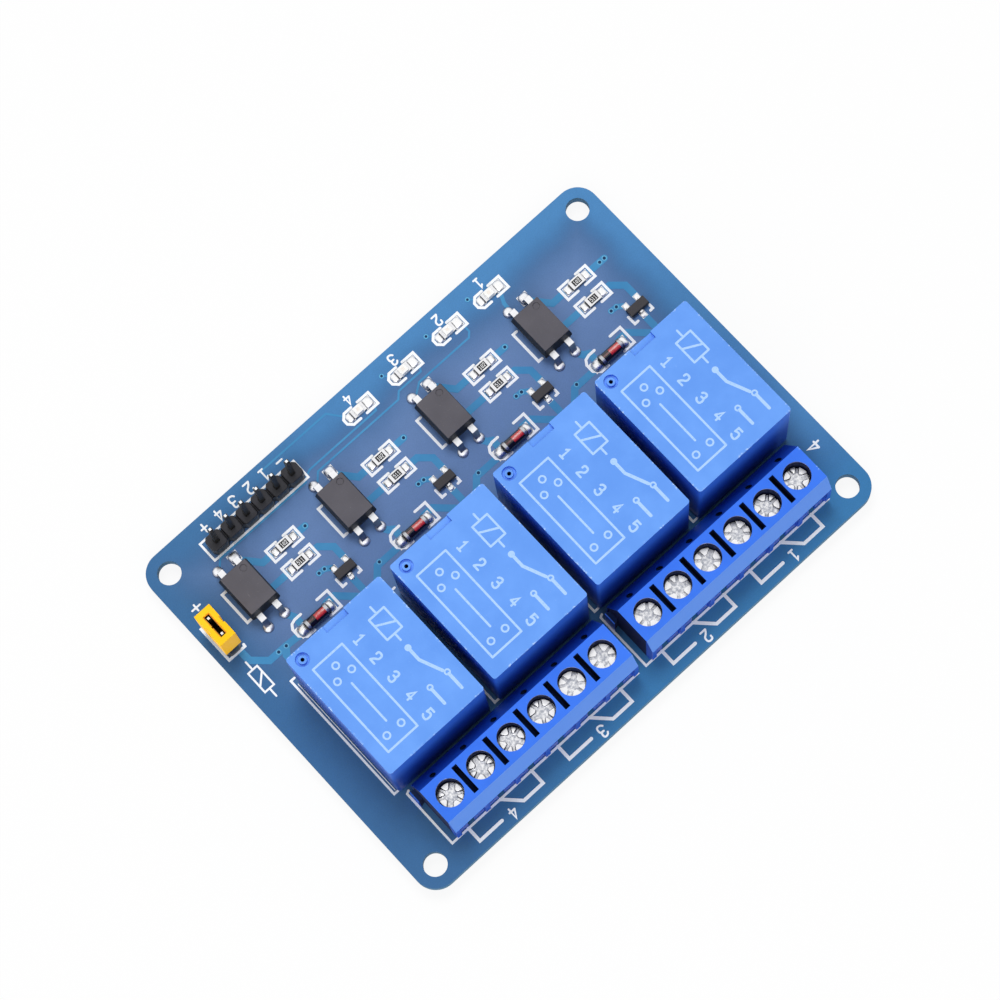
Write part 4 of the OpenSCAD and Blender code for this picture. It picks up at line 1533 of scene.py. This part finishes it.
    def header_marks(self) -> None:
        """Adds the header's and the jumper's outlines and their figures and signs."""
        low, high = self.header.low, self.header.high
        self.silk.stroke(corners(low.x - 0.5, low.y - 0.12, high.x + 0.1, high.y + 0.45),
                         self.silk_width, closed=True)
        marks = ("+", "4", "3", "2", "1", "-")
        pitch = self.header.size.x / len(marks)
        for place, mark in enumerate(marks):
            x = low.x + (place + 0.5) * pitch
            self.silk.figures(mark, (x, high.y + 1.65), self.text_height, 180, self.text_width)
        low, high = self.jumper.low, self.jumper.high
        self.bracket((low.x + 0.6, high.y + 0.2), (low.x - 0.2, high.y + 0.2),
                     (low.x - 0.2, low.y - 0.1), (high.x + 0.12, low.y - 0.1),
                     (high.x + 0.16, low.y + 0.2))
        self.silk.figures("+", (self.jumper.x, high.y + 2.7), 1.6, 90, self.text_width)
        self._coil_sign((self.jumper.x, low.y - 4.6))

    def _coil_sign(self, centre: Point) -> None:
        """Adds a plain coil sign: a box with a slanted line and two ends.

        Args:
            centre: Its middle.
        """
        x, y = centre
        half, reach, end, slant = 0.75, 1.6, 2.9, 0.7
        self.silk.stroke(corners(x - half, y - reach, x + half, y + reach), self.text_width,
                         closed=True)
        self.silk.stroke([(x - half, y - slant), (x + half, y + slant)], self.text_width)
        for side in (-1, 1):
            self.silk.stroke([(x, y + side * reach), (x, y + side * end)], self.text_width)

    def terminal_marks(self) -> None:
        """Adds the blocks' outlines, a contact sign for each channel, and its number."""
        blocks = [Box.of(f"terminal_block_{side}") for side in ("left", "right")]
        ways = [Box.of(f"terminal_screw_{way}").x for way in range(1, WAYS + 1)]
        front = blocks[0].low.y + 0.28
        for block, inner in zip(blocks, (2, 8)):
            start, end = block.high.x - self.block_length, block.high.x + 0.1
            middle = (ways[inner] + ways[inner + 1]) / 2
            self.line((start + 0.4, block.high.y + 0.4), (start, block.high.y + 0.2),
                      (start, front), (middle - 0.13, front))
            self.line((middle + 0.13, front), (end, front), (end, front + 0.6))
        thick, reach = self.silk_width * 1.45, front - 2.1
        for place in range(CHANNELS):
            first, centre, last = ways[3 * place:3 * place + 3]
            self.silk.stroke([(first - 0.8, front), (first - 0.8, reach), (centre - 2.1, reach)],
                             thick)
            self.silk.stroke([(centre - 0.5, front), (centre + 1.55, reach),
                              (last - 0.25, reach), (last - 0.25, front)], thick)
            self.silk.figures(str(CHANNELS - place), (centre - 0.4, reach - 0.25), 1.45, 180,
                              self.text_width)
        self.silk.figures("4", (self.board.high.x - 2.5, front + 6.1), 1.7, 90,
                          self.text_width * 1.15)

    def build(self) -> list[bpy.types.Object]:
        """Dresses the board and makes every layer.

        Returns:
            The board and the layers.
        """
        board = dressed("circuit_board", MASK)
        for part in self.channels:
            self._resistor_copper(part)
            self._transistor_copper(part)
            self._diode_copper(part)
            self._channel_silk(part)
        self.lights_row()
        self.header_marks()
        self.terminal_marks()
        layers = (self.copper, self.rings, self.holes, self.silk)
        return [board, *(layer.build() for layer in layers)]


@dataclass
class SolderedParts:
    """Chips, lights, diodes, transistors and optocouplers, with their pads and solder."""

    pad_height: float = 0.03
    digit_width: float = 0.07
    digit_height: float = 0.5
    border: float = 0.2
    pad_share: float = 1.92
    pad_edge: float = 0.03
    chip_out: float = 0.46
    chip_half: Point = (0.56, 0.62)
    chip_rise: float = 0.3
    light_rise: float = 0.34
    diode_rise: float = 0.8
    leg_rise: float = 0.2
    dome: Point = (0.76, 0.76)
    dome_rise: float = 0.5
    rear_dome_rise: float = 0.64
    squarish: float = 3.4
    round: float = 2.0

    def __post_init__(self) -> None:
        """Reads the height of the board and makes the empty layers."""
        self.top = Box.of("circuit_board").high.z
        self.pads = Layer("solder_pads", PAD, self.top - 0.02, self.top + self.pad_height,
                          "solder")
        self.fillets = Fillets("solder_fillets")
        self.chip_fillets = Fillets("chip_fillets", CHIP_SOLDER)

    def pillow(self, centre: Point, half: Point, height: float, squareness: float | None = None,
               chip: bool = True) -> None:
        """Adds solder, and its pad where it isn't round.

        Args:
            centre: Its middle.
            half: Half its length and half its depth.
            height: Height of the solder.
            squareness: 2 for a round foot, and more for a squarer one, which is usual.
            chip: Whether it belongs to a small part.
        """
        squareness = squareness or self.squarish
        if squareness > self.round:
            length, depth = ((reach + self.pad_edge) * self.pad_share for reach in half)
            self.pads.rectangle(centre, length, depth)
        fillets = self.chip_fillets if chip else self.fillets
        fillets.mound(centre, self.top, half, height, squareness)

    def resistors(self) -> list[bpy.types.Object]:
        """Dresses the resistors and writes their figures.

        Returns:
            The figures and the resistors.
        """
        bodies = solids("resistor_bodies")
        cap = solids("resistor_ends")[0].size.x
        top = bodies[0].high.z
        marks = Layer("resistor_figures", RESISTOR_RIM, top - 0.01, top + 0.012, "resistor_body")
        for place, box in enumerate(bodies):
            for side in (-1, 1):
                out = box.size.x / 2 + cap + self.chip_out
                self.pillow((box.x + side * out, box.y), self.chip_half, self.chip_rise)
            marks.figures("102" if place % 2 else "511", (box.x, box.y), self.digit_height, 0,
                          self.digit_width, 0.66)
            for side in (-1, 1):
                edge = box.y + side * (box.size.y - self.border) / 2
                marks.rectangle((box.x, edge), box.size.x, self.border)
        return [marks.build(), dressed("resistor_bodies", RESISTOR),
                dressed("resistor_ends", CHIP_END)]

    def lights(self) -> list[bpy.types.Object]:
        """Dresses the four lights.

        Returns:
            Their bodies and ends.
        """
        boxes = solids("led_bodies")
        cap = solids("led_ends")[0].size.x
        for box in boxes:
            end = box.size.x / 2 + cap
            self.pillow((box.x - end - 0.42, box.y), (0.5, 0.68), self.light_rise)
            self.pillow((box.x + end + 0.58, box.y), (0.68, 0.74), self.light_rise)
        lamp = Lamp("light_resin", tint(246, 245, 241), tint(252, 252, 252), tint(232, 212, 190),
                    tuple((box.x, box.y) for box in boxes))
        return [dressed("led_bodies", lamp), dressed("led_ends", CHIP_END)]

    def diodes(self) -> list[bpy.types.Object]:
        """Dresses the diodes.

        Returns:
            Their bodies and ends.
        """
        boxes = solids("diode_bodies")
        for box in boxes:
            for side, out, half in ((-1, 0.95, (0.85, 0.82)), (1, 0.8, (0.6, 0.85))):
                spot = (box.x + side * (box.size.x / 2 + out), box.y + 0.1)
                self.pillow(spot, half, self.diode_rise, 3.0)
        bands = tuple((box.low.x - 0.1, box.low.x + box.size.x * 0.4) for box in boxes)
        # The fourth colour is a painted highlight and the fifth painted shade on the flanks.
        glass = BandedGlass("banded_glass", tint(204, 44, 46), tint(230, 100, 92), tint(14, 12, 14),
                            tint(250, 196, 190), tint(22, 12, 18), bands)
        return [dressed("diode_bodies", glass), dressed("diode_ends", DIODE_END)]

    def transistors(self) -> list[bpy.types.Object]:
        """Dresses the transistors and solders their leads.

        Returns:
            Their cases and leads.
        """
        middle = solids("transistor_bodies")[0].y
        for lead in solids("transistor_leads"):
            out = 0.12 if lead.y > middle else -0.12
            self.pillow((lead.x, lead.y + out), (0.4, 0.5), self.leg_rise)
        return [softened("transistor_bodies", "transistor_cases", TRANSISTOR_CASE, 0.04, 1),
                dressed("transistor_leads", LEAD)]

    def optocouplers(self) -> list[bpy.types.Object]:
        """Dresses the optocouplers and solders their leads from above.

        Returns:
            Their leads and cases.
        """
        made = [dressed("optocoupler_leads", LEAD)]
        leads = solids("optocoupler_leads")
        for k in range(1, CHANNELS + 1):
            node = f"optocoupler_{k}"
            made.append(softened(node, f"optocoupler_case_{k}", OPTO_CASE, 0.1))
            body = Box.of(node)
            for lead in leads:
                if abs(lead.x - body.x) < body.size.x:
                    rear, right = lead.y > body.y, lead.x > body.x
                    spot = (lead.x + (0.1 if right else -0.1),
                            lead.high.y + 0.1 if rear else lead.low.y + 0.08)
                    rise = self.rear_dome_rise if rear else self.dome_rise
                    self.pillow(spot, self.dome, rise, 3.6 if rear and right else self.round,
                                chip=False)
        return made

    def build(self) -> list[bpy.types.Object]:
        """Dresses every part and makes the pads and the solder.

        Returns:
            The parts, the pads and the solder.
        """
        return [*self.resistors(), *self.lights(), *self.diodes(), *self.transistors(),
                *self.optocouplers(), dressed("solder_joints", SOLDER), self.pads.build(),
                self.fillets.build(), self.chip_fillets.build()]


@dataclass
class RelayRow:
    """The sealed relays, with their pale wiring print."""

    edge_radius: float = 0.12
    print_width: float = 0.28
    print_height: float = 0.004
    vent_inset: float = 1.6
    vent_from_rear: float = 1.4
    vent_reach: float = 0.3

    def _mark(self, relay: Box, name: str) -> bpy.types.Object:
        """Prints one relay's top; the print reads from its rear to its front.

        Args:
            relay: The relay's box.
            name: Name of the print.

        Returns:
            The print.
        """
        ink = Layer(name, RELAY_PRINT, relay.high.z - 0.01, relay.high.z + self.print_height,
                    "relay_plastic")

        def spot(along: float, up: float) -> Point:
            """Place on the top from the rear left corner, along the reading direction and up."""
            return relay.low.x + up, relay.high.y - along

        def run(*path: Point, width: float = self.print_width) -> None:
            """Strokes a line through places on the top."""
            ink.stroke([spot(*point) for point in path], width)

        def outline(left: float, low: float, right: float, high: float) -> None:
            """Strokes the four sides of a rectangle.

            Args:
                left: Least distance along.
                low: Least distance up.
                right: Greatest distance along.
                high: Greatest distance up.
            """
            path = corners(left, low, right, high)
            for start, end in zip(path, [*path[1:], path[0]]):
                run(start, end)

        # Coil sign and changeover contact
        run((2.2, 11.9), (3.3, 11.9))
        outline(3.3, 10.7, 6.6, 13.1)
        run((4.3, 10.7), (5.6, 13.1))
        run((6.6, 11.9), (7.7, 11.9))
        bold, fine, dot = self.print_width * 1.5, self.print_width * 0.8, 0.32
        run((9.0, 11.9), (11.0, 11.9), (13.9, 13.1), width=bold)
        run((17.0, 13.4), (14.7, 13.4), width=bold)
        run((17.0, 10.6), (14.7, 10.6), width=bold)
        for along, up in ((14.4, 13.4), (14.4, 10.6), (9.0, 11.9)):
            ink.circle(spot(along, up), dot, fine)
        # Row of pin numbers
        for place in range(5):
            ink.figures(str(place + 1), spot(4.2 + place * 3.1, 8.3), 1.35, -90, self.print_width)
        # Pin layout
        outline(3.2, 1.7, 16.8, 6.4)
        for along, up in ((4.7, 4.05), (6.3, 2.9), (6.3, 5.2), (15.2, 2.9), (15.2, 5.2)):
            ink.circle(spot(along, up), 0.42, self.print_width * 0.85)
        run((7.6, 4.05), (13.8, 4.05))
        return ink.build()

    def build(self) -> list[bpy.types.Object]:
        """Makes the rounded cases, their prints and the painted shade in their vent holes.

        Returns:
            The pins, the cases and the prints.
        """
        boxes = [Box.of(f"relay_{k}") for k in range(1, CHANNELS + 1)]
        # Painted shade: the case's side and foot colours, and the colour inside its vent holes.
        case = Moulded("relay_case", tint(96, 150, 234), tint(108, 162, 244), tint(186, 216, 254),
                       0.42, side=tint(54, 112, 226), painted_pit_shade=tint(6, 20, 60),
                       foot=tint(24, 66, 166), worn=tuple(boxes),
                       pits=tuple(Pit(box.low.x + self.vent_inset, box.high.y - self.vent_from_rear,
                                      self.vent_reach, self.vent_reach, box.high.z - 0.2)
                                  for box in boxes))
        made = [dressed("relay_pins", PIN)]
        for k, box in enumerate(boxes, 1):
            made.append(softened(f"relay_{k}", f"relay_case_{k}", case, self.edge_radius))
            made.append(self._mark(box, f"relay_print_{k}"))
        return made


@dataclass
class TerminalRow:
    """The two screw terminal blocks, with their frames, guards and screws."""

    screw_edge: float = 0.12
    flat_setback: float = 1.08
    flat_depth: float = 5.2

    def build(self) -> list[bpy.types.Object]:
        """Dresses the blocks and rounds the screws' heads.

        Returns:
            The blocks with their frames, and the guards with their screws.
        """
        made = []
        blocks = tuple(Box.of(f"terminal_block_{side}") for side in ("left", "right"))
        flat = blocks[0].low.y + self.flat_setback
        # The front colour is painted light; the side, rear and pits' colours are painted shade.
        case = TerminalCase(
            "terminal_case", tint(50, 112, 228), tint(58, 120, 238), tint(140, 184, 250), 0.36,
            scuffs=0.35, side=tint(26, 82, 208), painted_pit_shade=tint(2, 4, 18), front=tint(72, 144, 252),
            rear=tint(28, 78, 190), blocks=blocks, worn=blocks, flat_front=flat,
            flat_rear=flat + self.flat_depth)
        for side in ("left", "right"):
            made.append(dressed(f"terminal_block_{side}", case))
            made.append(dressed(f"terminal_frames_{side}", STEEL_FRAME))
        for way in range(1, WAYS + 1):
            made.append(dressed(f"wire_guard_{way}", STEEL_FRAME))
            made.append(softened(f"terminal_screw_{way}", f"screw_head_{way}", SCREW,
                                 self.screw_edge, 3))
        return made


@dataclass
class HeaderAndJumper:
    """The signal header, the jumper's pins and its yellow cap."""

    edge_radius: float = 0.08
    cap_wall: float = 0.3

    def build(self) -> list[bpy.types.Object]:
        """Dresses the strips, pins, cap and clip.

        Returns:
            The strips, the cap, the pins and the clip.
        """
        box, wall = Box.of("jumper_cap"), self.cap_wall
        # The deeper orange inside the cap's slot is painted shade.
        slot = Pit(box.x, box.y, box.size.x / 2 - wall, box.size.y / 2 - wall, box.high.z - 0.35)
        # The cap's upright faces glow: painted light.
        cap = Moulded("cap_yellow", tint(255, 200, 24), tint(255, 210, 44),
                      tint(255, 236, 150), 0.4, gloss=0.2, glow=0.3, side=tint(255, 192, 8),
                      painted_pit_shade=tint(255, 150, 14), pits=(slot,))
        made = [softened("header_strip", "header_housing", STRIP, self.edge_radius, 1),
                softened("jumper_strip", "jumper_housing", STRIP, self.edge_radius, 1),
                softened("jumper_cap", "jumper_sleeve", cap, self.edge_radius)]
        pins = [dressed(node, PIN) for node in ("header_pins", "jumper_pins")]
        return [*made, *pins, dressed("jumper_clip", BRASS)]


# ---------------------------------------------------------------------------------------
# Studio
# ---------------------------------------------------------------------------------------


@dataclass(frozen=True)
class Viewpoint:
    """A camera that looks at a point; its angles are in degrees and its distance in mm."""

    target: Vector
    azimuth: float
    elevation: float
    distance: float
    roll: float
    lens: float

    def build(self) -> bpy.types.Object:
        """Makes the camera and sets it as the scene's own.

        Returns:
            The camera.
        """
        azimuth, elevation, roll = map(math.radians, (self.azimuth, self.elevation, self.roll))
        flat = math.cos(elevation)
        forward = Vector((math.sin(azimuth) * flat, math.cos(azimuth) * flat, -math.sin(elevation)))
        level = forward.cross(Vector((0, 0, 1))).normalized()
        upright = level.cross(forward)
        right = level * math.cos(roll) + upright * math.sin(roll)
        up = right.cross(forward)
        place = (self.target - forward * self.distance) * MM
        turn = Matrix((right, up, -forward)).transposed().to_4x4()
        camera = bpy.data.objects.new("camera", bpy.data.cameras.new("camera"))
        camera.data.lens = self.lens
        camera.data.clip_start = 0.01
        camera.matrix_world = Matrix.Translation(place) @ turn
        bpy.context.scene.collection.objects.link(camera)
        bpy.context.scene.camera = camera
        return camera


@dataclass
class Studio:
    """Pale floor, white surroundings and soft lamps."""

    floor_reach: float = 4.0
    ambient: float = 0.34
    key_power: float = 1.6
    key_size: float = 0.2
    key_place: tuple[float, float, float] = (0.07, 0.14, 0.53)
    fill_power: float = 0.95
    fill_size: float = 0.36
    fill_place: tuple[float, float, float] = (-0.2, -0.24, 0.42)
    floor_gap: float = 0.00002
    floor_colour: Colour = (0.9, 0.9, 0.9, 1.0)
    floor_glow: float = 0.9

    def _seen(self, nodes: Nodes) -> Sock:
        """1 for camera, glossy and transmission rays, and 0 for the others.

        Args:
            nodes: Tree of the material or world.

        Returns:
            The share.
        """
        camera, glossy, through = (nodes.node("ShaderNodeLightPath", output=f"Is {kind} Ray")
                                   for kind in ("Camera", "Glossy", "Transmission"))
        return camera.most(glossy).most(through)

    def _world(self) -> None:
        """White to the eye and in reflections, and a soft grey as a light."""
        world = bpy.data.worlds.new("studio")
        bpy.context.scene.world = world
        world.use_nodes = True
        nodes = Nodes(world.node_tree)
        background = nodes.tree.nodes["Background"]
        nodes.link(background.inputs["Color"], WHITE)
        nodes.link(background.inputs["Strength"],
                   self._seen(nodes) * (1 - self.ambient) + self.ambient)

    def _floor(self) -> bpy.types.Object:
        """White floor that keeps a light shadow of the board.

        Returns:
            The floor.
        """
        mesh = bmesh.new()
        bmesh.ops.create_grid(mesh, x_segments=4, y_segments=4, size=self.floor_reach / 2)
        data = bpy.data.meshes.new("floor")
        mesh.to_mesh(data)
        mesh.free()
        floor = bpy.data.objects.new("floor", data)
        floor.location.z = min(corner[2] for corner in CAD_BOUNDS) - self.floor_gap
        bpy.context.scene.collection.objects.link(floor)
        material = bpy.data.materials.new("floor_white")
        material.use_nodes = True
        nodes = Nodes(material.node_tree)
        plain = nodes.node("ShaderNodeBsdfDiffuse", inputs={"Color": self.floor_colour})
        glow = nodes.node("ShaderNodeEmission")
        share = self._seen(nodes) * self.floor_glow
        blend = nodes.node("ShaderNodeMixShader", inputs={0: share, 1: plain, 2: glow})
        nodes.link(nodes.tree.nodes["Material Output"].inputs["Surface"], blend)
        nodes.tree.nodes.remove(nodes.tree.nodes["Principled BSDF"])
        data.materials.append(material)
        return floor

    def _lamp(self, name: str, power: float, size: float, place: Sequence[float],
              mirrored: bool = True) -> None:
        """Adds a soft square lamp that faces the board.

        Args:
            name: Name of the lamp.
            power: Its power.
            size: Length of its sides.
            place: Where it hangs.
            mirrored: Whether glossy surfaces show it.
        """
        light = bpy.data.lights.new(name, "AREA")
        light.energy = power
        light.size = size
        lamp = bpy.data.objects.new(name, light)
        lamp.location = place
        lamp.rotation_euler = (-Vector(place)).to_track_quat("-Z", "Y").to_euler()
        lamp.visible_glossy = mirrored
        bpy.context.scene.collection.objects.link(lamp)

    def build(self) -> bpy.types.Object:
        """Makes the world, the floor and the lamps.

        Returns:
            The floor.
        """
        self._world()
        self._lamp("key", self.key_power, self.key_size, self.key_place, mirrored=False)
        self._lamp("fill", self.fill_power, self.fill_size, self.fill_place)
        bpy.context.scene.view_settings.view_transform = "Standard"
        return self._floor()


def main() -> None:
    """Builds the sub-assemblies and the studio, in order."""
    logging.basicConfig(level=logging.INFO, format="%(name)s: %(message)s")
    view = Viewpoint(Vector((1.875, 3.518, 1.6)), azimuth=30.705, elevation=76.68,
                     distance=423.47, roll=-12.024, lens=120.96)
    parts = (view, PrintedBoard(), SolderedParts(), RelayRow(), TerminalRow(), HeaderAndJumper(),
             Studio())
    for part in parts:
        made = part.build()
        names = [piece.name for piece in (made if isinstance(made, Iterable) else [made])]
        LOG.info("%s: %s", type(part).__name__, ", ".join(names))


if __name__ == "__main__":
    main()
